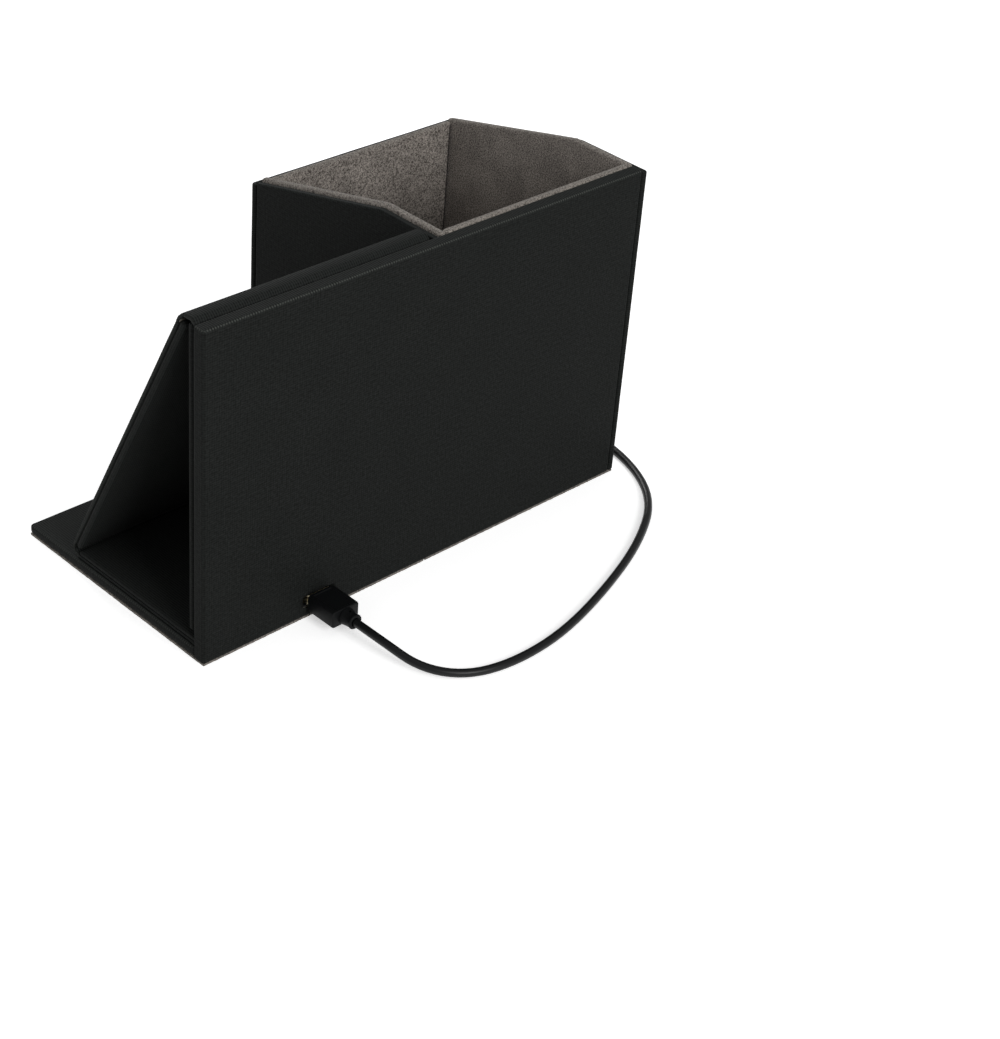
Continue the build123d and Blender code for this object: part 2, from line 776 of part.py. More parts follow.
def far_block(low, high, width, height, x=0, y=0):
    """A rectangular length of the far plug."""
    with BuildPart() as block:
        with BuildSketch(far_plane(low)):
            with Locations((x, y)):
                Rectangle(width, height)
        extrude(amount=high - low)
    return block.part


body_start = relief_l
shell_start = relief_l + usb_a_l
shell_end = shell_start + shell_l
shell_outer = far_block(shell_start - shell_hold, shell_end, shell_w, shell_h)
with BuildPart() as usb_a_shell:
    add(shell_outer)
    add(far_block(shell_start - shell_hold, shell_end, shell_w - 2 * shell_wall,
                  shell_h - 2 * shell_wall), mode=Mode.SUBTRACT)
    for side in (-1, 1):
        add(far_block(shell_end - shell_l / 2 - shell_hole_l, shell_end - shell_l / 2, shell_hole_w,
                      shell_h + 2 * overrun, side * shell_hole_step / 2), mode=Mode.SUBTRACT)
write(usb_a_shell.part, "usb_a_shell")

with BuildPart() as usb_a_body:
    with BuildSketch(far_plane(body_start)):
        RectangleRounded(usb_a_w, usb_a_h, usb_a_corner_r)
    extrude(amount=usb_a_l)
    fillet(usb_a_body.faces().filter_by(Axis.X).edges(), usb_a_edge_r)
    with BuildSketch(far_plane(0)):
        Circle(relief_tip_r)
    with BuildSketch(far_plane(body_start)):
        Circle(relief_r)
    loft()
    add(shell_outer, mode=Mode.SUBTRACT)
write(usb_a_body.part, "usb_a_body")

insert_y = -(shell_h / 2 - shell_wall - insert_gap - insert_h / 2)
write(far_block(shell_start, shell_end - shell_wall, shell_w - 2 * shell_wall - 2 * insert_gap,
                insert_h, 0, insert_y), "usb_a_insert")
print("cord length in all", round((tube_length + coil_wire.length) / 1000, 3), "m")
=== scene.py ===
import bpy
import bmesh
import json
import math
from mathutils import Matrix, Vector, noise


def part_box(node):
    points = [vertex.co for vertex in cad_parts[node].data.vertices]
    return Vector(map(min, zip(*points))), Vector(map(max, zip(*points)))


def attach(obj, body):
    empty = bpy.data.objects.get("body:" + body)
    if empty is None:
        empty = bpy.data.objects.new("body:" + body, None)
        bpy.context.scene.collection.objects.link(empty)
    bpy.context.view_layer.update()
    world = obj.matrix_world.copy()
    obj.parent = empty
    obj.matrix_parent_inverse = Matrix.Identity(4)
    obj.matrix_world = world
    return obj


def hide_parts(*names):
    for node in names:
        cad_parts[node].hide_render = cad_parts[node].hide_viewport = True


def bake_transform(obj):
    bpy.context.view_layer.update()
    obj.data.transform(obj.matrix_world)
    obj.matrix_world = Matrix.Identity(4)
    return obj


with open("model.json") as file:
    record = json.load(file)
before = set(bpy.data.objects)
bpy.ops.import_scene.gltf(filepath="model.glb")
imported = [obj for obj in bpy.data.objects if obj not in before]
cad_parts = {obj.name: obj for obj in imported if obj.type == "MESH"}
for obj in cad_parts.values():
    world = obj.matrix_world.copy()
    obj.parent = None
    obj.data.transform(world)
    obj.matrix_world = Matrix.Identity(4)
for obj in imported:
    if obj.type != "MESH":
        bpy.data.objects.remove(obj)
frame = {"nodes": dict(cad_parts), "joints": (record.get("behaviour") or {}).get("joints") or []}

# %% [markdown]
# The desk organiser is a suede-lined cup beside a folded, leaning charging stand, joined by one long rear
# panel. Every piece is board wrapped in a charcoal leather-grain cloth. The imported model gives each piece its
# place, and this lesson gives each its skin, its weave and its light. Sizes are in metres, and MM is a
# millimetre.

MM = 0.001
scene = bpy.context.scene
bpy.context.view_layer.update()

# %% [markdown]
# The camera stands where the photograph was taken: behind the rear panel, beyond the stand's open end and
# above it. Its place, turn and lens were worked out from the organiser's own right angles, so they are
# written down as numbers and nothing has to be aimed by eye.

# %% Camera
camera_data = bpy.data.cameras.new("photo_camera")
camera_data.sensor_fit = "HORIZONTAL"
camera_data.sensor_width = 36.0
camera_data.lens = 81.733
camera = bpy.data.objects.new("photo_camera", camera_data)
camera.location = (0.38024, 0.42390, 0.37370)
camera.rotation_euler = [math.radians(a) for a in (56.423, -4.166, 135.761)]
scene.collection.objects.link(camera)
scene.camera = camera
print("camera is", round(camera.location.length, 3), "m from the middle of the footprint")

# %% [markdown]
# Colours are written as they are read off a screen, and Blender's nodes want them linear. One function turns
# them over, and one more adds a node with its inputs and options, so that every finish below reads as a
# recipe.

# %% Colour and node helpers
# A Mix node has its share at input 0, its colours at inputs 6 and 7 and the result at output 2


def colour(written):
    """A screen colour such as "#262827" as the linear colour that a node wants."""
    channels = [int(written[i:i + 2], 16) / 255 for i in (1, 3, 5)]
    return tuple(c / 12.92 if c <= 0.04045 else ((c + 0.055) / 1.055) ** 2.4 for c in channels) + (1.0,)


def add_node(owner, kind, inputs=None, **options):
    """Add a shader node, set its options, and feed each input with a value, a node or one of its outputs."""
    node = owner.node_tree.nodes.new("ShaderNode" + kind)
    for option, value in options.items():
        setattr(node, option, value)
    for socket, value in (inputs or {}).items():
        if isinstance(value, bpy.types.Node):
            value = value.outputs[0]
        if isinstance(value, bpy.types.NodeSocket):
            owner.node_tree.links.new(value, node.inputs[socket])
        else:
            node.inputs[socket].default_value = value
    return node


def new_material(name):
    """An empty node material."""
    material = bpy.data.materials.new(name)
    material.use_nodes = True
    material.node_tree.nodes.clear()
    return material


# %% [markdown]
# A dark object on white is lit broadly, or its edges are lost. A pale world fills every side evenly. One
# strong lamp stands behind the camera and one in front of the organiser, and two weak ones, above and at the
# stand's end, only soften the shadows. Seen directly, the world is plain white.

# %% World and lamps
scene.view_settings.view_transform = "Standard"
fill_strength = 0.43
world = bpy.data.worlds.new("pale_room")
scene.world = world
world.use_nodes = True
world.node_tree.nodes.clear()
world_path = add_node(world, "LightPath")
world_fill = add_node(world, "Background", {"Color": colour("#ffffff"), "Strength": fill_strength})
world_seen = add_node(world, "Background", {"Color": colour("#ffffff")})
world_mix = add_node(world, "MixShader", {
    0: world_path.outputs["Is Camera Ray"], 1: world_fill, 2: world_seen})
add_node(world, "OutputWorld", {"Surface": world_mix})

lamp_aim = Vector((0, 0, 0.05))
# Each lamp's name, place, side and power
lamps = [
    ("top_softbox", (0.10, -0.15, 1.10), 0.7, 0.5),
    ("back_softbox", (0.20, 1.10, 0.65), 0.5, 8.6),
    ("end_softbox", (1.00, -0.10, 0.45), 0.4, 0.15),
    ("front_softbox", (-0.35, -1.05, 0.60), 0.5, 5.5),
]
for lamp_name, lamp_place, lamp_size, lamp_power in lamps:
    lamp_data = bpy.data.lights.new(lamp_name, "AREA")
    lamp_data.shape = "SQUARE"
    lamp_data.size = lamp_size
    lamp_data.energy = lamp_power
    lamp = bpy.data.objects.new(lamp_name, lamp_data)
    lamp.location = lamp_place
    lamp.rotation_euler = (lamp_aim - Vector(lamp_place)).to_track_quat("-Z", "Y").to_euler()
    scene.collection.objects.link(lamp)
print(len(lamps), "lamps")

# %% [markdown]
# The floor is a plain pale sheet, wide enough to fill the view. It keeps the organiser's soft shadow, which
# is what seats it on the table. Seen directly or in a reflection it glows a little, which lifts it to white.

# %% Floor
floor_glow, floor_half = 0.51, 3.0
# Matt emulsion, rolled on: even, without shine, very faintly cloudy
floor_paint = new_material("pale studio paint")
floor_speck = add_node(floor_paint, "TexNoise", {"Scale": 1 / (25 * MM)})
floor_tone = add_node(floor_paint, "Mix", {
    0: floor_speck, 6: colour("#f6f6f6"), 7: colour("#fafafa")}, data_type="RGBA")
floor_path = add_node(floor_paint, "LightPath")
floor_seen = add_node(floor_paint, "Math", {
    0: floor_path.outputs["Is Camera Ray"], 1: floor_path.outputs["Is Glossy Ray"]}, operation="MAXIMUM")
floor_lift = add_node(floor_paint, "Math", {0: floor_seen, 1: floor_glow}, operation="MULTIPLY")
floor_shader = add_node(floor_paint, "BsdfPrincipled", {
    "Base Color": floor_tone.outputs[2], "Roughness": 0.9, "Specular IOR Level": 0.1,
    "Emission Color": colour("#ffffff"), "Emission Strength": floor_lift})
add_node(floor_paint, "OutputMaterial", {"Surface": floor_shader})

bm = bmesh.new()
bmesh.ops.create_grid(bm, x_segments=4, y_segments=4, size=floor_half)
floor_mesh = bpy.data.meshes.new("studio_floor")
bm.to_mesh(floor_mesh)
bm.free()
floor = bpy.data.objects.new("studio_floor", floor_mesh)
floor_mesh.materials.append(floor_paint)
scene.collection.objects.link(floor)
print("floor laid,", 2 * floor_half, "m wide")

# %% [markdown]
# A cord's jacket is PVC, pushed hot over its wires. It comes out smooth but never quite even, so one fine
# noise drives both its tone and a faint bump.

# %% Cord jacket
# PVC jacket, extruded: near black, with a faint orange-peel and a soft gloss
cord_jacket = new_material("moulded PVC cord jacket")
jacket_coords = add_node(cord_jacket, "TexCoord")
jacket_peel = add_node(cord_jacket, "TexNoise", {
    "Vector": jacket_coords.outputs["Object"], "Scale": 1 / (0.6 * MM)})
jacket_tone = add_node(cord_jacket, "Mix", {
    0: jacket_peel, 6: colour("#0b0c0d"), 7: colour("#121314")}, data_type="RGBA")
jacket_bump = add_node(cord_jacket, "Bump", {
    "Height": jacket_peel, "Strength": 0.25, "Distance": 0.03 * MM})
jacket_shader = add_node(cord_jacket, "BsdfPrincipled", {
    "Base Color": jacket_tone.outputs[2], "Roughness": 0.38, "Specular IOR Level": 0.25,
    "Normal": jacket_bump})
add_node(cord_jacket, "OutputMaterial", {"Surface": jacket_shader})
print("cord jacket ready")

# %% [markdown]
# A cord keeps its length wherever it lies. This one leaves the plug, sinks to the table, goes round the cup's
# end and is wound into a flat double coil in front. One smooth spline with listed points does it, and
# the coil's turns are more points of the same spline.

# %% Cord
cord_d = 2.5 * MM
cord_r = cord_d / 2
route = [Vector(p) * MM for p in (
    (39.9, 56.3, 5.6), (39.9, 67.5, 5.6), (37.2, 79.5, 2.6), (28.5, 88.5, 1.25), (14.5, 92.5, 1.25),
    (-5.5, 91.5, 1.25), (-30.0, 84.5, 1.25), (-55.0, 74.5, 1.25), (-76.0, 61.0, 1.25), (-87.0, 41.0, 1.25),
    (-89.8, 16.0, 1.25), (-89.5, -12.0, 1.25), (-88.625, -38.0, 1.8), (-88.625, -62.375, 1.8),
)]
coil_middle = Vector((-68.5, -64.875, 0)) * MM
wound_in_r, coil_spread = 7.375 * MM, 3.0 * MM
coil_low, coil_lift = 1.8 * MM, 2.95 * MM
turns_in, climb_turns, coil_turns = 4, 0.5, 8.25
reverse_turn = turns_in + climb_turns / 2
points_per_turn = 20
tail_l = 22.0 * MM


def coil_point(turn):
    """A control point of the coil: a little outside the turn that the spline then draws."""
    angle = math.pi + 2 * math.pi * turn
    radius = (wound_in_r + coil_spread * abs(turn - reverse_turn)) / math.cos(math.pi / points_per_turn)
    climbed = min(1, max(0, (turn - turns_in) / climb_turns))
    height = coil_low + coil_lift * climbed ** 2 * (3 - 2 * climbed)
    return coil_middle + Vector((math.cos(angle) * radius, math.sin(angle) * radius, height))


coil_places = [coil_point((k + 0.5) / points_per_turn) for k in range(round(coil_turns * points_per_turn))]
wound_out_r = wound_in_r + coil_spread * (coil_turns - reverse_turn)
coil_exit = coil_middle + Vector((0, -wound_out_r, coil_low + coil_lift))
tail_start = coil_exit + Vector((wound_out_r * math.tan(math.pi / points_per_turn), 0, 0))
cord_end = coil_exit + Vector((tail_l, 0, 0))
cord_points = route + coil_places + [tail_start, cord_end]

cord_curve = bpy.data.curves.new("charging_cord", "CURVE")
cord_curve.dimensions = "3D"
cord_curve.bevel_depth = cord_r
cord_curve.bevel_resolution = 4
cord_curve.resolution_u = 6
cord_curve.use_fill_caps = True
cord_line = cord_curve.splines.new("NURBS")
cord_line.points.add(len(cord_points) - 1)
for point, place in zip(cord_line.points, cord_points):
    point.co = (*place, 1)
cord_line.order_u = 3
cord_line.use_endpoint_u = True
charging_cord = bpy.data.objects.new("charging_cord", cord_curve)
cord_curve.materials.append(cord_jacket)
scene.collection.objects.link(charging_cord)
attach(charging_cord, "root")
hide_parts("cord_tube", "cord_coil")
print("cord has", len(cord_points), "points and ends at", [round(c / MM, 2) for c in cord_end])

# %% [markdown]
# The cloth is a coated fabric with an embossed leather grain: ribs one way, finer threads the other. The
# pattern reads each piece's own map in metres, so it runs true round every board. Two marks on the mesh paint
# light into it. On faces that lie flat the ribs show more strongly and the cloth is painted lighter, as light
# falling from above would show it. Along each edge a painted highlight lies on the ribs, in a row with a pitch
# of its own.

# %% Leather-grain cloth
# The real ribs are a little finer: 0.75 mm is about as fine as this view can show
rib_pitch, thread_pitch, edge_pitch = 0.75 * MM, 0.68 * MM, 0.85 * MM
pebble_size, hand_size = 0.8 * MM, 14 * MM
thread_share, pebble_share = 0.2, 0.8
# A wave of scale 1 comes round every 2 pi / 20
wave_unit = 2 * math.pi / 20
# Polyurethane on woven cloth, embossed: a dull charcoal that lights up only on the tops of its grain
leather = new_material("charcoal leather-grain cloth")
weave_map = add_node(leather, "UVMap", uv_map="weave")
ribs = add_node(leather, "TexWave", {
    "Vector": weave_map, "Scale": wave_unit / rib_pitch, "Distortion": 1.3, "Detail Scale": 0.8},
    bands_direction="X")
threads = add_node(leather, "TexWave", {
    "Vector": weave_map, "Scale": wave_unit / thread_pitch, "Distortion": 2.2}, bands_direction="Y")
pebbles = add_node(leather, "TexNoise", {"Vector": weave_map, "Scale": 1 / pebble_size, "Detail": 2.5})
# Painted light: on faces that lie flat the ribs show stronger and the cloth is lighter, as under light from
# above
painted_rib_light = add_node(leather, "Attribute", attribute_name="painted_rib_light")
rib_share = add_node(leather, "Math", {
    0: ribs.outputs["Fac"], 1: painted_rib_light.outputs["Fac"]}, operation="MULTIPLY")
weave = add_node(leather, "Math", {
    0: threads.outputs["Fac"], 1: thread_share, 2: rib_share}, operation="MULTIPLY_ADD")
grain = add_node(leather, "Math", {0: pebbles, 1: pebble_share, 2: weave}, operation="MULTIPLY_ADD")
grain_reach = add_node(leather, "MapRange", {"Value": grain, "From Min": 0.36, "From Max": 0.99})
hand = add_node(leather, "TexNoise", {"Vector": weave_map, "Scale": 1 / hand_size, "Detail": 3.0})
cloth_dark = add_node(leather, "Mix", {
    0: hand, 6: colour("#111211"), 7: colour("#141514")}, data_type="RGBA")
cloth_light = add_node(leather, "Mix", {
    0: hand, 6: colour("#262827"), 7: colour("#2b2d2c")}, data_type="RGBA")
cloth_tone = add_node(leather, "Mix", {
    0: grain_reach, 6: cloth_dark.outputs[2], 7: cloth_light.outputs[2]}, data_type="RGBA")
# Painted highlight: along each edge the ribs are painted paler, in a row, as where the rounding catches the
# light
edge_mark = add_node(leather, "Attribute", attribute_name="edge")
edge_weave = add_node(leather, "TexWave", {
    "Vector": weave_map, "Scale": wave_unit / edge_pitch, "Distortion": 1.6}, bands_direction="X")
rib_tops = add_node(leather, "MapRange", {
    "Value": edge_weave.outputs["Fac"], "From Min": 0.3, "From Max": 0.85, "To Min": 0.12})
edge_row = add_node(leather, "MapRange", {
    "Value": edge_mark.outputs["Fac"], "From Min": 0.42, "From Max": 0.8})
edge_rib_highlight = add_node(leather, "Math", {0: edge_row, 1: rib_tops}, operation="MULTIPLY")
edge_highlight_tone = add_node(leather, "Mix", {
    0: edge_rib_highlight, 6: cloth_tone.outputs[2], 7: colour("#4b4d4a")}, data_type="RGBA")
grain_bump = add_node(leather, "Bump", {"Height": grain, "Distance": 0.09 * MM})
leather_shader = add_node(leather, "BsdfPrincipled", {
    "Base Color": edge_highlight_tone.outputs[2], "Roughness": 0.6, "Specular IOR Level": 0.025,
    "Normal": grain_bump})
add_node(leather, "OutputMaterial", {"Surface": leather_shader})
print("leather-grain cloth: ribs every", rib_pitch / MM, "mm")

# %% [markdown]
# The lining is a short-pile suede. Its pile leans where a hand has brushed it, which leaves soft cloudy
# marks, and it stands up and catches the light along each rim. Fine noise gives the pile, wide noise the
# clouds. The rim, and the painted shade in the gap where two linings meet, are marked on the mesh.

# %% Suede
# Single hairs are too fine to show, so the pile is drawn in tufts of 0.42 mm
pile_size, cloud_size = 0.42 * MM, 9 * MM
# Microfibre, needled and brushed: a dry grey-brown, mottled wherever its pile lies another way
suede = new_material("grey-brown short-pile suede")
suede_coords = add_node(suede, "TexCoord")
pile = add_node(suede, "TexNoise", {
    "Vector": suede_coords.outputs["Object"], "Scale": 1 / pile_size, "Detail": 3.0, "Roughness": 0.7})
pile_reach = add_node(suede, "MapRange", {"Value": pile, "From Min": 0.38, "From Max": 0.62})
clouds = add_node(suede, "TexNoise", {
    "Vector": suede_coords.outputs["Object"], "Scale": 1 / cloud_size, "Detail": 4.0, "Roughness": 0.55,
    "Distortion": 0.6})
cloud_reach = add_node(suede, "MapRange", {"Value": clouds, "From Min": 0.32, "From Max": 0.68})
pile_tone = add_node(suede, "Mix", {
    0: pile_reach, 6: colour("#37322f"), 7: colour("#98918a")}, data_type="RGBA")
brushed_tone = add_node(suede, "Mix", {
    0: pile_reach, 6: colour("#4a4541"), 7: colour("#afa79f")}, data_type="RGBA")
cloud_tone = add_node(suede, "Mix", {
    0: cloud_reach, 6: pile_tone.outputs[2], 7: brushed_tone.outputs[2]}, data_type="RGBA")
rim_pile = add_node(suede, "Mix", {
    0: pile_reach, 6: colour("#4b4743"), 7: colour("#918b84")}, data_type="RGBA")
rim_mark = add_node(suede, "Attribute", attribute_name="edge")
rim_tone = add_node(suede, "Mix", {
    0: rim_mark.outputs["Fac"], 6: cloud_tone.outputs[2], 7: rim_pile.outputs[2]}, data_type="RGBA")
# Painted shade: the gap where two linings meet in a corner is painted near black
corner_shade_mark = add_node(suede, "Attribute", attribute_name="corner_shade")
corner_shade_tone = add_node(suede, "Mix", {
    0: corner_shade_mark.outputs["Fac"], 6: rim_tone.outputs[2], 7: colour("#151312")}, data_type="RGBA")
pile_bump = add_node(suede, "Bump", {"Height": pile, "Strength": 0.4, "Distance": 0.12 * MM})
suede_shader = add_node(suede, "BsdfPrincipled", {
    "Base Color": corner_shade_tone.outputs[2], "Roughness": 0.95, "Specular IOR Level": 0.1, "Sheen Weight": 0.08,
    "Sheen Roughness": 0.5, "Normal": pile_bump})
add_node(suede, "OutputMaterial", {"Surface": suede_shader})
print("suede: tufts of", pile_size / MM, "mm")

# %% [markdown]
# Every flat piece is a board with its skin pulled round it, so they all start from one block: sized, its
# edges rounded, then cut into a net that can carry the hand's small unevenness. A sloping rim is one more
# cut.

# %% Shaping helpers
# A hair's breadth, the least turn of a real edge in radians, and how squarely a face looks along an axis
hair, sharp_turn, squarely = 1e-6, 0.6, 0.9


def block(low, high):
    """A plain block between two corners, as a bmesh."""
    bm = bmesh.new()
    bmesh.ops.create_cube(bm, size=1)
    low, high = Vector(low), Vector(high)
    bmesh.ops.scale(bm, vec=high - low, verts=bm.verts)
    bmesh.ops.translate(bm, vec=(low + high) / 2, verts=bm.verts)
    return bm


def length_along(edge, axis):
    """How far an edge reaches along one axis."""
    return abs(edge.verts[0].co[axis] - edge.verts[1].co[axis])


def sharp_edges(bm):
    """The edges where two faces meet at a real angle."""
    return [e for e in bm.edges if e.calc_face_angle(0) > sharp_turn]


def everything(bm):
    """All that a bmesh holds, as bisect_plane wants it."""
    return bm.verts[:] + bm.edges[:] + bm.faces[:]


def round_over(bm, edges, radius, segments=3):
    """Round the given edges."""
    bmesh.ops.bevel(bm, geom=edges, offset=radius, segments=segments, profile=0.5, affect="EDGES",
                    clamp_overlap=True, material=-1)


def cut_net(bm, axis, places):
    """Cut the piece across an axis at each place."""
    normal = Vector([float(i == axis) for i in range(3)])
    for place in places:
        bmesh.ops.bisect_plane(bm, geom=everything(bm), plane_co=normal * place, plane_no=normal)


def slope_off(bm, corner, end):
    """Cut away what stands above the line from corner to end, given as (y, z), and close the cut."""
    along = Vector((0, end[0] - corner[0], end[1] - corner[1]))
    normal = Vector((0, -along.z, along.y))
    normal *= math.copysign(1, normal.z)
    cut = bmesh.ops.bisect_plane(bm, geom=everything(bm), plane_co=(0, *corner), plane_no=normal,
                                 clear_outer=True)
    bmesh.ops.edgeloop_fill(bm, edges=[e for e in cut["geom_cut"] if isinstance(e, bmesh.types.BMEdge)])


# %% [markdown]
# The net has a cut just inside each edge and even ones between. Its points carry what the cloth needs: the
# map of the weave, how near an edge is, for the painted highlight there, and how flat the face lies, for the
# painted rib light. A glued skin is never quite even, so they are also lifted and sunk by a few hundredths of a
# millimetre.

# %% Skin helpers
# How wide the painted highlight along an edge is, how much weaker it is on upright edges, and how strongly
# ribs show and how much lighter the cloth is painted by the way a face lies
edge_band, upright_share = 1.0 * MM, 0.3
upright_painted_rib_light, lying_painted_rib_light = 0.12, 0.65
net_step, wall_step = 9 * MM, 8 * MM
skin_lift, skin_spread = 0.05 * MM, 11 * MM


def spaced(low, high, band, step):
    """Places for cuts: one just inside each end, and even ones between them."""
    count = max(1, round((high - low - 2 * band) / step))
    return [low + band + (high - low - 2 * band) * i / count for i in range(count + 1)]


def net_over(bm, low, high, step):
    """Cut a board into a net along every axis on which it is more than thin."""
    for axis in range(3):
        if high[axis] - low[axis] > 3 * edge_band:
            cut_net(bm, axis, spaced(low[axis], high[axis], edge_band, step))


def lay_weave(bm):
    """Give each face a map in metres, seen squarely from the side that it faces, and mark each point with the
    painted rib light that goes with how flat it lies.
    """
    layer = bm.loops.layers.uv.new("weave")
    painted_rib_light = bm.verts.layers.float.new("painted_rib_light")
    bm.normal_update()
    for vert in bm.verts:
        vert[painted_rib_light] = upright_painted_rib_light + lying_painted_rib_light * abs(vert.normal.z)
    for face in bm.faces:
        sizes = [abs(c) for c in face.normal]
        facing = sizes.index(max(sizes))
        first, second = ((1, 2), (0, 2), (0, 1))[facing]
        for loop in face.loops:
            loop[layer].uv = (loop.vert.co[first], loop.vert.co[second])


def mark_edges(bm, low, high, share=1.0):
    """Mark how near each vertex is to the block's edges, times a share that says how strong the painted
    highlight there is.
    """
    layer = bm.verts.layers.float.new("edge")
    for vert in bm.verts:
        reach = sorted((abs(vert.co[axis] - side[axis]), axis) for axis in range(3) for side in (low, high))
        edge_highlight = share if 2 in (reach[0][1], reach[1][1]) else share * upright_share
        vert[layer] = edge_highlight * max(0, 1 - reach[1][0] / edge_band)


def mark_sides(bm, low_x, high_x, share):
    """Mark how near each vertex is to the two long sides of a strip, for the painted highlight there."""
    layer = bm.verts.layers.float.new("edge")
    for vert in bm.verts:
        vert[layer] = share * max(0, 1 - min(vert.co.x - low_x, high_x - vert.co.x) / edge_band)


def unsettle(bm, height, spread):
    """Lift and sink the surface a little, as a glued skin does."""
    bm.normal_update()
    for vert in bm.verts:
        vert.co += vert.normal * (height * noise.noise(vert.co / spread))


def finish_piece(bm, name, material, nodes, body="root", place=None, crease=None):
    """Turn a bmesh into an object that rides on a body and stands for the model's nodes."""
    if place:
        bmesh.ops.transform(bm, matrix=place, verts=bm.verts)
    bmesh.ops.recalc_face_normals(bm, faces=bm.faces)
    mesh = bpy.data.meshes.new(name)
    bm.to_mesh(mesh)
    bm.free()
    mesh.shade_smooth()
    if crease:
        mesh.set_sharp_from_angle(angle=math.radians(crease))
    mesh.materials.append(material)
    piece = bpy.data.objects.new(name, mesh)
    scene.collection.objects.link(piece)
    if body:
        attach(piece, body)
    if nodes:
        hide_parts(*nodes)
    print(name, len(mesh.polygons), "faces")
    return piece


def wrapped_board(name, node, low, high, radius, body="root", place=None, share=1.0):
    """A leather-wrapped board with all its edges rounded."""
    bm = block(low, high)
    round_over(bm, bm.edges[:], radius)
    net_over(bm, low, high, net_step)
    mark_edges(bm, low, high, share)
    lay_weave(bm)
    unsettle(bm, skin_lift, skin_spread)
    return finish_piece(bm, name, leather, [node], body, place)


# %% [markdown]
# The rear panel is the longest board. Near its foot the charging port goes right through it: the net is cut
# at the port's sides, the faces inside are taken out on both faces, and the two openings are bridged, which
# leaves a neat lined hole whose corners are then rounded.

# %% Rear panel
rear_low, rear_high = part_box("rear_cover")
outer_r, inner_r, port_r = 0.8 * MM, 0.5 * MM, 0.6 * MM
port_x, port_z = 39.9 * MM, 5.6 * MM
port_w, port_h = 11.2 * MM, 4.0 * MM
port_sides = [(0, port_x - port_w / 2), (0, port_x + port_w / 2),
              (2, port_z - port_h / 2), (2, port_z + port_h / 2)]
bm = block(rear_low, rear_high)
outer_edges = [e for e in bm.edges if max(v.co.y for v in e.verts) > rear_high[1] - hair]
round_over(bm, outer_edges, outer_r, 4)
inner_edges = [e for e in sharp_edges(bm) if max(v.co.y for v in e.verts) < rear_low[1] + hair]
round_over(bm, inner_edges, inner_r)
cut_net(bm, 0, spaced(rear_low[0], rear_high[0], edge_band, net_step))
cut_net(bm, 1, [rear_low[1] + edge_band, rear_high[1] - edge_band])
cut_net(bm, 2, spaced(rear_low[2], rear_high[2], edge_band, net_step))
for axis, place in port_sides:
    cut_net(bm, axis, [place])


def in_port(face):
    """True for a face of the rear panel inside the port's outline."""
    middle = face.calc_center_median()
    return (abs(middle.x - port_x) < port_w / 2 and abs(middle.z - port_z) < port_h / 2
            and abs(face.normal.y) > squarely)


bm.normal_update()
bmesh.ops.delete(bm, geom=[f for f in bm.faces if in_port(f)], context="FACES")
bmesh.ops.bridge_loops(bm, edges=[e for e in bm.edges if e.is_boundary])
port_corners = [e for e in bm.edges if length_along(e, 1) > 2 * MM
                and min(abs(e.verts[0].co.x - x) for a, x in port_sides[:2]) < hair
                and min(abs(e.verts[0].co.z - z) for a, z in port_sides[2:]) < hair]
round_over(bm, port_corners, port_r)
mark_edges(bm, rear_low, rear_high)
lay_weave(bm)
unsettle(bm, skin_lift, skin_spread)
finish_piece(bm, "rear_panel_skin", leather, ["rear_cover"])
print("port corners rounded", len(port_corners))

# %% [markdown]
# The cup's two side walls fall away to the front, so each is a block with one sloping cut. The front wall is
# square. Their boards are only 2 mm thick, which shows at the rim as a thin dark line outside the suede.

# %% Cup walls
wall_t = 2.0 * MM
wall_edge_r = 0.35 * wall_t
kink_y = 14.5 * MM
front_y, front_rim_z = -40.5 * MM, 88.6 * MM


def side_board(node, rise, material, name, rim_only=False):
    """A side board of the cup, whose top is level behind the kink and falls to the front."""
    low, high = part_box(node)
    rim_end = (front_y, front_rim_z + rise)
    bm = block(low, high)
    slope_off(bm, (kink_y, high[2]), rim_end)
    round_over(bm, sharp_edges(bm), wall_edge_r)
    cut_net(bm, 1, spaced(low[1], high[1], edge_band, wall_step))
    cut_net(bm, 2, spaced(low[2], high[2], edge_band, wall_step))
    fall = (high[2] - rim_end[1]) / (kink_y - rim_end[0])
    bmesh.ops.bisect_plane(bm, geom=everything(bm), plane_co=(0, kink_y, high[2] - edge_band),
                           plane_no=(0, -fall, 1))
    # On the leather walls this mark is the painted edge highlight, weaker on upright edges; on the suede
    # linings it marks the rim
    layer = bm.verts.layers.float.new("edge")
    for vert in bm.verts:
        below_rim = high[2] - max(0, kink_y - vert.co.y) * fall - vert.co.z
        vert[layer] = max(0, 1 - below_rim / edge_band)
        if not rim_only:
            aside = min(vert.co.z - low[2], vert.co.y - low[1], high[1] - vert.co.y)
            vert[layer] = upright_share * max(vert[layer], 1 - aside / edge_band)
    lay_weave(bm)
    unsettle(bm, skin_lift, skin_spread)
    return finish_piece(bm, name, material, [node])


side_board("end_wall_cover", 0, leather, "end_wall_skin")
side_board("inner_wall_cover", 0, leather, "inner_wall_skin")
wrapped_board("front_wall_skin", "front_wall_cover", *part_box("front_wall_cover"), wall_edge_r)

# %% [markdown]
# Inside stand four suede-covered boards, a millimetre taller than the walls. They butt at the corners, and
# the narrow dark line there is shade in the gap between two piles, painted on. The floor of the cup and the two
# pads underneath are suede as well.

# %% Suede linings
lining_rise = 1.0 * MM
# How far from each end of a lining the painted corner shade reaches
corner_shade_w = 0.8 * MM
floor_edge_r = 0.15 * MM
pile_lift, pile_spread = 0.06 * MM, 9 * MM
side_board("lining_end_suede", lining_rise, suede, "end_lining", True)
side_board("lining_inner_suede", lining_rise, suede, "inner_lining", True)


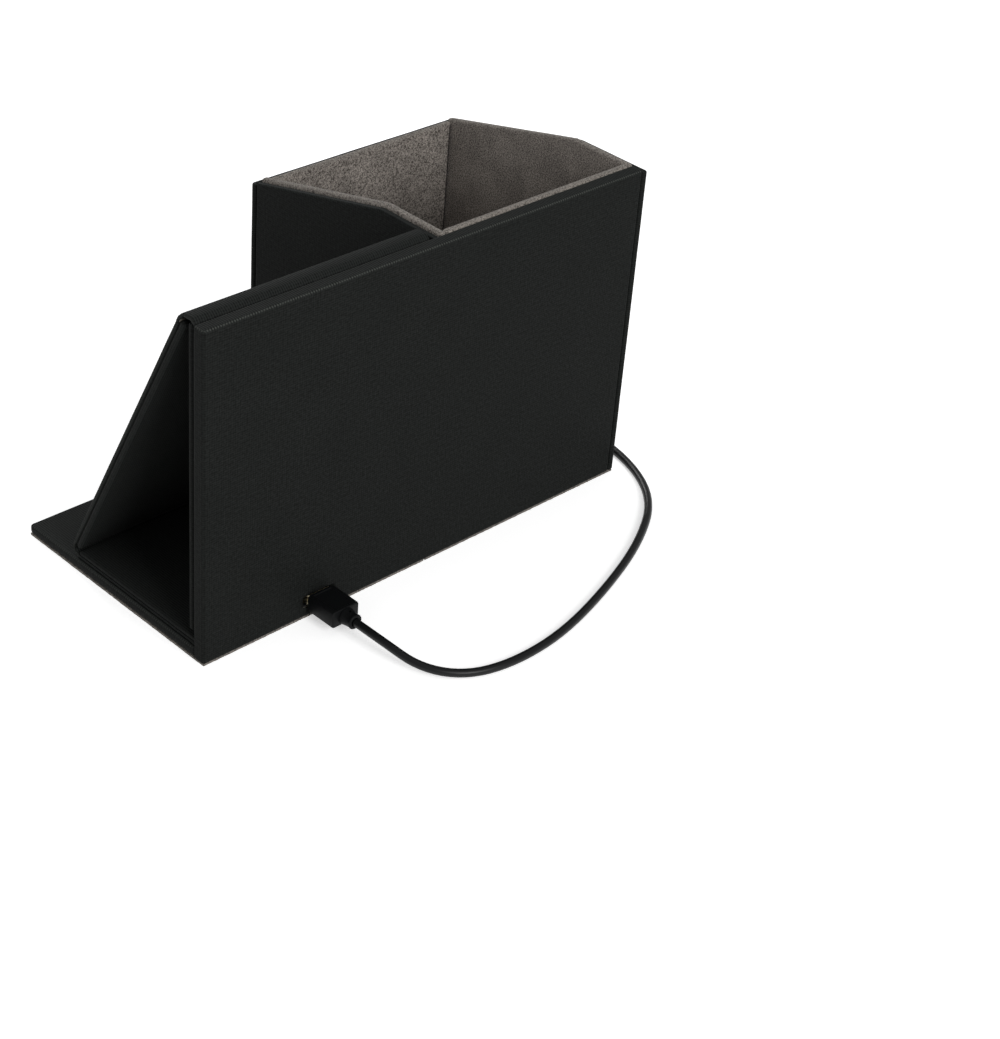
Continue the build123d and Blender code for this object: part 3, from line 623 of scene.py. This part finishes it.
def suede_board(name, node, radius, rim=True):
    """A suede-covered board, paler along its rim, with shade painted dark at its two ends, where it meets the
    next.
    """
    low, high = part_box(node)
    bm = block(low, high)
    round_over(bm, bm.edges[:], radius)
    net_over(bm, low, high, wall_step)
    layer = bm.verts.layers.float.new("edge")
    corner_shade = bm.verts.layers.float.new("corner_shade")
    for vert in bm.verts:
        depth = high[2] - vert.co.z
        vert[layer] = max(0, 1 - depth / edge_band) if rim else 0
        vert[corner_shade] = float(depth > edge_band and min(vert.co.x - low[0], high[0] - vert.co.x) < corner_shade_w)
    lay_weave(bm)
    unsettle(bm, pile_lift, pile_spread)
    return finish_piece(bm, name, suede, [node])


suede_board("rear_lining", "lining_rear_suede", wall_edge_r)
suede_board("front_lining", "lining_front_suede", wall_edge_r)
suede_board("cup_floor_lining", "cup_floor_suede", floor_edge_r, False)

# %% [markdown]
# Two thin pads keep the boards off the desk. They are die-cut and left raw, so a hairy pale line shows round
# the foot. Their sides are divided finely and each point is pushed in or out a little.

# %% Suede pads
pad_fray, fray_size, fray_cuts = 0.14 * MM, 0.5 * MM, 110


def base_pad(name, node):
    """A thin suede pad whose cut edge is slightly frayed."""
    low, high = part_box(node)
    bm = block(low, high)
    sides = [e for e in bm.edges if length_along(e, 2) < hair]
    bmesh.ops.subdivide_edges(bm, edges=sides, cuts=fray_cuts, use_grid_fill=False)
    layer = bm.verts.layers.float.new("edge")
    for vert in bm.verts:
        outward = Vector((vert.co.x - (low[0] + high[0]) / 2, vert.co.y, 0)).normalized()
        vert.co += outward * (pad_fray * noise.noise(vert.co / fray_size))
        vert[layer] = 1
    lay_weave(bm)
    return finish_piece(bm, name, suede, [node], crease=30)


base_pad("cup_base_suede", "cup_base_pad")
base_pad("stand_base_suede", "stand_base_pad")

# %% [markdown]
# The base flap lies flat under the stand, and its front part is the ledge. It is one more wrapped board, with
# rounder edges than the walls.

# %% Base flap
flap_edge_r = 0.85 * MM
wrapped_board("base_flap_skin", "base_flap_cover", *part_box("base_flap_cover"), flap_edge_r)

# %% [markdown]
# The folded sleeve stands on the flap. Its leaning panel hangs from the hinge at the top and turns into the
# foot panel at the notch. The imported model's joints give both points, so the lean is worked out from them.
# The leaning panel is modelled lying flat, and one matrix then puts it in place.

# %% Where the sleeve's panels lie
joints = {joint["name"]: joint for joint in frame["joints"]}
hinge = Vector(joints["panel_lift"]["pos_m"])
notch = Vector(joints["foot_fold"]["pos_m"])
panel_t = 3.25 * MM
run = hinge - notch
lean = math.atan2(run.y, run.z) + math.asin(panel_t / run.length)
panel_up = Vector((0, math.sin(lean), math.cos(lean)))
panel_out = Vector((0, -math.cos(lean), math.sin(lean)))
panel_place = Matrix.Translation((0, notch.y, notch.z)) @ Matrix((
    (1, 0, 0, 0),
    (0, panel_up.y, panel_out.y, 0),
    (0, panel_up.z, panel_out.z, 0),
    (0, 0, 0, 1),
))
stand_low, stand_high = 0.8 * MM, 79.0 * MM
panel_reach = run.dot(panel_up)
foot_gap, head_gap, strip_gap = 0.3 * MM, 1.3 * MM, 1.5 * MM
panel_head = panel_reach - head_gap
strip_head = panel_head - strip_gap
print("panel leans", round(math.degrees(lean), 2), "degrees and reaches", round(panel_reach / MM, 2), "mm")

# %% [markdown]
# The sleeve is an outer strip that goes round all of it in one run, and a stiff liner on each of its panels.
# A shadow line shows between strip and liner all the way round its end. Only the strip's long sides are
# rounded, because at its ends it goes on into a fold.

# %% Strips and liners
strip_t, liner_t = 1.365 * MM, 1.735 * MM
strip_share, liner_share = 0.5, 0.4
strip_roundness, strip_lift = 0.42, 0.04 * MM
back_liner_r, panel_liner_r = 0.7 * MM, 0.65 * MM
fold_leg = 3.0 * MM


def strip_board(name, node, low, high, run_axis, body, place=None):
    """A run of the sleeve's outer strip: its two long sides rounded, its ends square where it goes on."""
    bm = block(low, high)
    across = min(high[i] - low[i] for i in range(3))
    sides = [e for e in bm.edges if length_along(e, run_axis) > 2 * edge_band and length_along(e, 0) < hair]
    round_over(bm, sides, strip_roundness * across)
    net_over(bm, low, high, net_step)
    mark_sides(bm, low[0], high[0], strip_share)
    lay_weave(bm)
    unsettle(bm, strip_lift, skin_spread)
    return finish_piece(bm, name, leather, [node], body, place)


back_low, back_high = [list(corner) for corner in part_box("sleeve_back_strip")]
back_high[2] -= fold_leg
strip_board("sleeve_back", "sleeve_back_strip", back_low, back_high, 2, "root")
wrapped_board("back_liner_skin", "back_liner_cover", *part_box("back_liner_cover"), back_liner_r,
              share=liner_share)
strip_board("panel_front_skin", "panel_front_cover", (stand_low, foot_gap, panel_t - strip_t),
            (stand_high, strip_head, panel_t), 1, "charging_panel", panel_place)
wrapped_board("panel_liner_skin", "panel_liner_cover", (stand_low, foot_gap, 0),
              (stand_high, panel_head, liner_t), panel_liner_r, "charging_panel", panel_place, liner_share)

# %% [markdown]
# The foot panel lies on the base flap, and a slot in its rear end clears the port's socket. The slot is made
# much as the port's hole was: cuts at its sides, the faces inside taken out, and the rims bridged.

# %% Foot panel
slot_w, slot_end_y = 17.0 * MM, 34.1 * MM
foot_strip_r, foot_liner_r = 0.4 * MM, 0.42 * MM
foot_low, foot_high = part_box("foot_strip")


def slotted(name, node, low, high, radius, ends_only):
    """A piece of the foot panel, with the slot in its rear end that clears the port's socket."""
    bm = block(low, high)
    slot_sides = [port_x - slot_w / 2, port_x + slot_w / 2]
    cut_net(bm, 0, slot_sides)
    cut_net(bm, 1, [slot_end_y])
    bm.normal_update()
    inside = [f for f in bm.faces
              if slot_sides[0] < f.calc_center_median().x < slot_sides[1]
              and f.calc_center_median().y > slot_end_y - hair
              and (abs(f.normal.z) > squarely or f.calc_center_median().y > high[1] - hair)]
    bmesh.ops.delete(bm, geom=inside, context="FACES")
    bmesh.ops.delete(bm, geom=[e for e in bm.edges if e.is_wire], context="EDGES")
    bmesh.ops.bridge_loops(bm, edges=[e for e in bm.edges if e.is_boundary and length_along(e, 2) < hair])
    bmesh.ops.holes_fill(bm, edges=[e for e in bm.edges if e.is_boundary], sides=8)
    bm.normal_update()
    chosen = sharp_edges(bm)
    if ends_only:
        chosen = [e for e in chosen if length_along(e, 1) > 4 * MM]
    round_over(bm, chosen, radius)
    cut_net(bm, 0, spaced(low[0], high[0], edge_band, net_step))
    cut_net(bm, 1, spaced(low[1], high[1], edge_band, net_step))
    mark_edges(bm, low, high, liner_share)
    lay_weave(bm)
    return finish_piece(bm, name, leather, [node], "foot_panel")


slotted("foot_strip_skin", "foot_strip", foot_low, foot_high, foot_strip_r, True)
slotted("foot_liner_skin", "foot_liner_cover", *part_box("foot_liner_cover"), foot_liner_r, False)

# %% [markdown]
# Where the strip turns, at the top and at the foot, it bends as one thick piece of leather. Each bend starts
# as a plain sheet with sharp corners. The corners are rounded as edges, the sheet gets its thickness, and its
# two sides are rounded last. A bend joins two panels and rides on neither: it stays where it is built.

# %% Folds
bend_segments, fold_roundness = 10, 0.4


def bent_sheet(outline, radii, crown):
    """A sheet as wide as the stand along an outline of (y, z) points, rounded at its inner corners."""
    bm = bmesh.new()
    verts = [bm.verts.new((stand_low, y, z)) for y, z in outline]
    edges = [bm.edges.new(pair) for pair in zip(verts, verts[1:])]
    pulled = bmesh.ops.extrude_edge_only(bm, edges=edges)["geom"]
    bmesh.ops.translate(bm, vec=(stand_high - stand_low, 0, 0),
                        verts=[v for v in pulled if isinstance(v, bmesh.types.BMVert)])
    for (y, z), radius in zip(outline[1:-1], radii):
        bend = [e for e in bm.edges if all(abs(v.co.y - y) + abs(v.co.z - z) < hair for v in e.verts)]
        round_over(bm, bend, radius, bend_segments)
    cut_net(bm, 0, spaced(stand_low, stand_high, edge_band, net_step))
    if crown:
        first, last = outline[1][0], outline[2][0]
        for vert in bm.verts:
            across = min(1, max(0, (vert.co.y - first) / (last - first)))
            vert.co.z += crown * math.sin(math.pi * across)
    return bm


def fold(name, node, outline, radii, thickness, crown=0):
    """A bent run of the strip, thickened inwards, which stays where it is built and rides on neither panel that
    it joins.
    """
    bm = bent_sheet(outline, radii, crown)
    bmesh.ops.recalc_face_normals(bm, faces=bm.faces)
    middle = sum((v.co for v in bm.verts), Vector()) / len(bm.verts)
    outside = sum((f.normal.dot(f.calc_center_median() - middle) * f.calc_area() for f in bm.faces))
    if outside < 0:
        bmesh.ops.reverse_faces(bm, faces=bm.faces)
    bmesh.ops.solidify(bm, geom=bm.faces[:], thickness=thickness)
    bm.normal_update()
    ends = [Vector((0, a[0] - b[0], a[1] - b[1])).normalized()
            for a, b in ((outline[0], outline[1]), (outline[-1], outline[-2]))]
    rims = [e for e in sharp_edges(bm) if len(e.link_faces) == 2
            and sum(abs(f.normal.x) > squarely for f in e.link_faces) == 1
            and not any(f.normal.dot(way) > squarely for f in e.link_faces for way in ends)]
    round_over(bm, rims, fold_roundness * thickness)
    mark_sides(bm, stand_low, stand_high, strip_share)
    lay_weave(bm)
    piece = finish_piece(bm, name, leather, [node], None)
    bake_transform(piece)


# %% [markdown]
# The foot's fold starts at the leaning panel's foot and ends at the foot strip. Its one bend takes up nearly
# all of the leg above it, so it is round rather than creased.

# %% Fold at the foot
foot_fold_t, bend_share = 1.1 * MM, 0.985
notch_line = Vector((0, notch.y, notch.z))
panel_front_foot = notch_line + panel_up * foot_gap + panel_out * panel_t
foot_bottom = foot_low[2]
corner_drop = (panel_front_foot.z - foot_bottom) / panel_up.z
foot_corner = panel_front_foot - panel_up * corner_drop
fold("foot_fold_leather", "foot_fold_skin",
     [(panel_front_foot.y, panel_front_foot.z), (foot_corner.y, foot_bottom), (foot_low[1], foot_bottom)],
     [(foot_corner - panel_front_foot).length * bend_share], foot_fold_t)
print("foot corner", [round(c / MM, 2) for c in foot_corner])

# %% [markdown]
# The spine is the leather over the top of the sleeve. It has a bend at each side and is crowned between them,
# because the leather is pulled over two boards that don't touch.

# %% Crowned spine
spine_t, spine_crown = 0.9 * MM, 0.9 * MM
spine_front_r, spine_rear_r = 1.7 * MM, 2.1 * MM
spine_front_y, spine_rear_y, spine_z = hinge.y + 0.1 * MM, 36.35 * MM, 102.55 * MM
panel_front_head = notch_line + panel_up * strip_head + panel_out * panel_t
fold("top_fold_leather", "top_fold_skin",
     [(panel_front_head.y, panel_front_head.z), (spine_front_y, spine_z), (spine_rear_y, spine_z),
      (spine_rear_y, back_high[2])],
     [spine_front_r, spine_rear_r], spine_t,
     spine_crown)
print("spine's top at", round((spine_z + spine_crown) / MM, 2), "mm")

# %% [markdown]
# The boards, metal shells and electronics keep the model's own shapes and only need a finish. Each is two
# near tones and a small relief that follow one fine noise, at a grain size taken from the real surface.
# Grains too fine for the view are drawn 0.2 mm and more.

# %% Materials for the rest


def plain_finish(name, low_tone, high_tone, grain_size, roughness, metallic=0.0, bump=0.02 * MM, gloss=0.5):
    """A material whose tone and surface follow one fine noise of a real grain size."""
    material = new_material(name)
    coords = add_node(material, "TexCoord")
    speck = add_node(material, "TexNoise", {
        "Vector": coords.outputs["Object"], "Scale": 1 / grain_size, "Detail": 3.0})
    tone = add_node(material, "Mix", {
        0: speck, 6: colour(low_tone), 7: colour(high_tone)}, data_type="RGBA")
    relief = add_node(material, "Bump", {"Height": speck, "Strength": 0.4, "Distance": bump})
    shader = add_node(material, "BsdfPrincipled", {
        "Base Color": tone.outputs[2], "Roughness": roughness, "Metallic": metallic,
        "Specular IOR Level": gloss, "Normal": relief})
    add_node(material, "OutputMaterial", {"Surface": shader})
    return material


# Each finish: its name, two tones, grain size and roughness, then any metallic, relief and gloss

# Waste paper, pressed into board: warm grey, matt and flecked
greyboard = plain_finish("pressed greyboard", "#6f6a62", "#8d877d", 0.8 * MM, 0.9)
# Stamped steel, plated: a pale yellowish metal, blurred by the stamping
plated_steel = plain_finish("plated steel", "#bfb69b", "#dcd4b8", 0.5 * MM, 0.42, 1.0, 0.005 * MM)
# Moulded nylon, black or white: dull, with the mould's fine grain
contact_plastic = plain_finish("contact-block nylon", "#101112", "#18191b", 0.3 * MM, 0.5)
insert_plastic = plain_finish("white contact-block nylon", "#dadad6", "#ededea", 0.5 * MM, 0.45)
# Lacquer cured over glass cloth: a smooth coat with some gloss, in green or in black
circuit_board = plain_finish("green solder mask on glass epoxy", "#0d3a1c", "#145026", 0.6 * MM, 0.3)
socket_mask = plain_finish("black solder mask on glass epoxy", "#08090a", "#0e0f10", 0.5 * MM, 0.5)
# Epoxy with a mineral filler, moulded round the chips: matt near-black
chip_plastic = plain_finish("moulded epoxy chips", "#141415", "#1f1f21", 0.2 * MM, 0.6)
# Enamelled wire, wound and baked: reddish and glossy
copper = plain_finish("lacquered copper winding", "#a65a2c", "#c87a44", 0.4 * MM, 0.3, 1.0)
# Pressed iron oxide, fired: a stony dark grey
ferrite = plain_finish("sintered ferrite", "#242426", "#303033", 0.3 * MM, 0.7)
# Cast film: slick and even and amber; the lower lead, which shows through the port, is painted near-black as
# shade
lead_film = plain_finish("amber polyimide film", "#9a5a12", "#c07a1e", 1.0 * MM, 0.35)
lead_film_in_painted_shade = plain_finish("polyimide film painted near-black as shade", "#0e0e0f", "#161617", 1.0 * MM, 0.45)
# Soft rubber-like plastic, moulded over the plug: black with a satin bloom
plug_plastic = plain_finish("satin moulded TPE", "#090a0b", "#101112", 0.25 * MM, 0.48, 0.0, 0.02 * MM, 0.1)
# Woven nylon with a napped face: charcoal and quite without gloss
tie_strap = plain_finish("woven hook tape", "#1a1b1d", "#2b2c2f", 0.35 * MM, 0.85, 0.0, 0.08 * MM)

boards = [name for name in frame["nodes"] if name.endswith("_board")]
carried = {
    greyboard: [name for name in boards if name not in ("charger_board", "socket_board")],
    plated_steel: ["usb_socket_shell", "plug_shell", "usb_a_shell"],
    contact_plastic: ["usb_socket_tongue"],
    insert_plastic: ["usb_a_insert"],
    circuit_board: ["charger_board"],
    socket_mask: ["socket_board"],
    chip_plastic: ["charger_chips"],
    copper: ["charging_coil"],
    ferrite: ["ferrite_sheet"],
    lead_film: ["charge_lead_upper"],
    lead_film_in_painted_shade: ["charge_lead_lower"],
}
for material, names in carried.items():
    for name in names:
        for slot in frame["nodes"][name].material_slots:
            slot.material = material
print("materials on", sum(len(names) for names in carried.values()), "carried nodes")

# %% [markdown]
# The socket's steel mouth has two flared lips, so that a plug finds its way in, and they catch the light
# round the plug. They start as a short block of the socket's size with its lower corners cut. Its ends and
# sides are taken away, the lips are bent apart and narrowed, and then the sheet gets its thickness.

# %% Socket's flared mouth
mouth_low, mouth_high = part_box("usb_socket_shell")
lip_reach, lip_flare, lip_narrowing, lip_t = 0.75 * MM, 0.42 * MM, 0.35 * MM, 0.2 * MM
lip_corner, sideways = 0.8 * MM, 0.5
lip_end_y = mouth_high[1] + lip_reach
bm = block((mouth_low[0], mouth_high[1], mouth_low[2]), (mouth_high[0], lip_end_y, mouth_high[2]))
lower_corners = [e for e in bm.edges if max(v.co.z for v in e.verts) < mouth_low[2] + hair
                 and length_along(e, 1) > hair]
round_over(bm, lower_corners, lip_corner, 1)
bm.normal_update()
bmesh.ops.delete(bm, geom=[f for f in bm.faces if abs(f.normal.z) < sideways], context="FACES")
for vert in bm.verts:
    if vert.co.y > lip_end_y - hair:
        vert.co.x -= math.copysign(lip_narrowing, vert.co.x - port_x)
        vert.co.z += math.copysign(lip_flare, vert.co.z - port_z)
bmesh.ops.solidify(bm, geom=bm.faces[:], thickness=-lip_t)
socket_lip = finish_piece(bm, "socket_lip", plated_steel, [], crease=30)
print("mouth opens to", [round(side / MM, 2) for side in socket_lip.dimensions], "mm")

# %% [markdown]
# Moulded pieces are turned or sunk. A turned one is a closed outline spun round its axis. A sunk panel is a
# face set in twice: once along the face and once down into it.

# %% Helpers for moulded pieces
recess_wall = 0.25 * MM


def spun(outline_mm, place, steps=40):
    """A closed solid turned from (radius, distance) points, with place taking its Z axis where it belongs."""
    bm = bmesh.new()
    closed = outline_mm + outline_mm[:1]
    verts = [bm.verts.new((radius * MM, 0, along * MM)) for radius, along in closed]
    for pair in zip(verts, verts[1:]):
        bm.edges.new(pair)
    bmesh.ops.spin(bm, geom=bm.verts[:] + bm.edges[:], cent=(0, 0, 0), axis=(0, 0, 1), angle=2 * math.pi,
                   steps=steps, use_merge=True)
    bmesh.ops.remove_doubles(bm, verts=bm.verts, dist=hair)
    bmesh.ops.transform(bm, matrix=place, verts=bm.verts)
    return bm


def recess(bm, way, margin, depth):
    """Sink a shallow panel into the largest face that looks the given way."""
    bm.normal_update()
    face = max((f for f in bm.faces if f.normal.dot(way) > squarely), key=lambda f: f.calc_area())
    bmesh.ops.inset_region(bm, faces=[face], thickness=margin)
    bmesh.ops.inset_region(bm, faces=[face], thickness=recess_wall, depth=-depth)


def end_rims(bm, axis):
    """The edges round a moulding's two ends."""
    bm.normal_update()
    return [e for e in bm.edges if sum(abs(f.normal[axis]) > squarely for f in e.link_faces) == 1]


# %% [markdown]
# The small plug is one soft moulding over its metal shell: chamfered along its length, with a shallow thumb
# recess on top and bottom, and a tapering collar with a small dimple where the cord comes out. The body is a
# bevelled block and the collar a spun outline.

# %% Small plug
plug_middle = Vector((port_x, 0, port_z))
plug_w, plug_h = 9.4 * MM, 5.2 * MM
plug_front, plug_back = 41.4 * MM, 52.1 * MM
plug_chamfer, plug_end_r = 0.7 * MM, 0.35 * MM
thumb_margin, thumb_depth = 1.2 * MM, 0.12 * MM
up = Vector((0, 0, 1))
bm = block(plug_middle + Vector((-plug_w / 2, plug_front, -plug_h / 2)),
           plug_middle + Vector((plug_w / 2, plug_back, plug_h / 2)))
round_over(bm, [e for e in bm.edges if length_along(e, 1) > plug_h], plug_chamfer, 2)
for way in (up, -up):
    recess(bm, way, thumb_margin, thumb_depth)
round_over(bm, end_rims(bm, 1), plug_end_r)
plug_grip = finish_piece(bm, "plug_grip", plug_plastic, ["plug_body"], crease=25)

# Radius and distance from the body, in mm
collar_outline = [(1.22, 0), (2.6, 0), (2.62, 0.3), (2.55, 0.6), (2.42, 1.2), (2.3, 2.0), (2.2, 2.9),
                  (2.2, 3.4), (2.28, 3.7), (2.2, 4.0), (1.95, 4.2), (1.6, 4.25), (1.35, 4.1), (1.22, 3.9)]
dimple_along, dimple_up = 1.6 * MM, 2.4 * MM
dimple_wall, dimple_depth = 0.05 * MM, 0.8 * MM
collar_start = plug_middle + Vector((0, plug_back, 0))
bm = spun(collar_outline, Matrix.Translation(collar_start) @ Matrix.Rotation(-math.pi / 2, 4, "X"))
bmesh.ops.recalc_face_normals(bm, faces=bm.faces)
dimple_place = collar_start + Vector((0, dimple_along, dimple_up))
dimple = sorted(bm.faces, key=lambda f: (f.calc_center_median() - dimple_place).length)[:2]
bmesh.ops.inset_region(bm, faces=dimple, thickness=dimple_wall, depth=-dimple_depth)
plug_collar = finish_piece(bm, "plug_collar", plug_plastic, ["plug_boot"], crease=50)

# %% [markdown]
# The far end's plug is larger and made the same way, with five finger grooves on each side of its grip. A
# groove is three cuts across the grip, the middle one pulled in. The relief behind it is a ribbed bush that
# lets the cord bend gently, spun as the collar was.

# %% Large plug
far_w, far_h, far_l = 15.6 * MM, 8.6 * MM, 20 * MM
far_gap, grooves = 7 * MM, 5
far_front = cord_end.x + far_gap
far_chamfer, far_end_r = 2.2 * MM, 0.8 * MM
panel_margin, panel_depth = 1.6 * MM, 0.25 * MM
groove_start, groove_step, groove_depth, groove_half = 6.5 * MM, 1.3 * MM, 0.35 * MM, 0.35 * MM
bm = block((far_front, cord_end.y - far_w / 2, cord_end.z - far_h / 2),
           (far_front + far_l, cord_end.y + far_w / 2, cord_end.z + far_h / 2))
round_over(bm, [e for e in bm.edges if length_along(e, 0) > far_h], far_chamfer, 5)
for way in (up, -up):
    recess(bm, way, panel_margin, panel_depth)
round_over(bm, end_rims(bm, 0), far_end_r)
for k in range(grooves):
    groove_x = far_front + groove_start + k * groove_step
    cut_net(bm, 0, [groove_x - groove_half, groove_x, groove_x + groove_half])
    for vert in bm.verts:
        if abs(vert.co.x - groove_x) < 10 * hair and abs(vert.co.y - cord_end.y) > far_w / 2 - 10 * hair:
            vert.co.y -= math.copysign(groove_depth, vert.co.y - cord_end.y)
far_grip = finish_piece(bm, "usb_a_grip", plug_plastic, ["usb_a_body"], crease=40)

# Radius and distance from the cord's end, in mm
relief_outline = [(1.22, 0.1), (1.9, 0), (2.1, 0.25), (2.15, 1.2), (1.8, 1.4), (1.8, 1.8), (2.3, 2.0),
                  (2.45, 3.1), (2.05, 3.3), (2.05, 3.7), (2.6, 3.9), (2.75, 5.0), (2.3, 5.2), (2.3, 5.6),
                  (2.95, 5.8), (3.1, 7.1), (1.22, 7.1)]
bm = spun(relief_outline, Matrix.Translation(cord_end) @ Matrix.Rotation(math.pi / 2, 4, "Y"))
far_relief = finish_piece(bm, "usb_a_relief", plug_plastic, [])

# %% [markdown]
# A strip of hook tape holds the coil. It is a sleeve with rounded corners that goes over and under the turns,
# and its free end is pressed down on top.

# %% Coil tie
tie_w, tie_t = 5.0 * MM, 0.4 * MM
tie_in, tie_out = 6.4 * MM, 20.2 * MM
tie_low, tie_high = 0.45 * MM, 6.1 * MM
tie_corner_r, tie_off_floor = 1.0 * MM, 0.05 * MM
tie_place = Matrix.Translation(coil_middle) @ Matrix.Rotation(math.radians(45), 4, "Z")
bm = block((tie_in, -tie_w / 2, tie_low), (tie_out, tie_w / 2, tie_high))
bm.normal_update()
bmesh.ops.delete(bm, geom=[f for f in bm.faces if abs(f.normal.y) > squarely], context="FACES_ONLY")
round_over(bm, [e for e in bm.edges if not e.is_boundary], tie_corner_r, 4)
bmesh.ops.recalc_face_normals(bm, faces=bm.faces)
bmesh.ops.solidify(bm, geom=bm.faces[:], thickness=-tie_t)
for vert in bm.verts:
    vert.co.z = max(vert.co.z, tie_off_floor)
lay_weave(bm)
coil_tie = finish_piece(bm, "coil_tie", tie_strap, ["cord_tie"], "root", tie_place)

tab_l, tab_back, tab_inset = 8.0 * MM, 1.5 * MM, 0.2 * MM
bm = block((tie_out - tab_back - tab_l, tab_inset - tie_w / 2, tie_high + tie_t),
           (tie_out - tab_back, tie_w / 2 - tab_inset, tie_high + 2 * tie_t))
round_over(bm, [e for e in bm.edges if length_along(e, 2) > tie_t / 2], tie_corner_r, 4)
lay_weave(bm)
tie_tab = finish_piece(bm, "coil_tie_end", tie_strap, [], "root", tie_place)

# %% [markdown]
# The cord lies at its real length and thickness, with its plugs and the coil's tie on it.

print("cord, plugs and coil tie built")
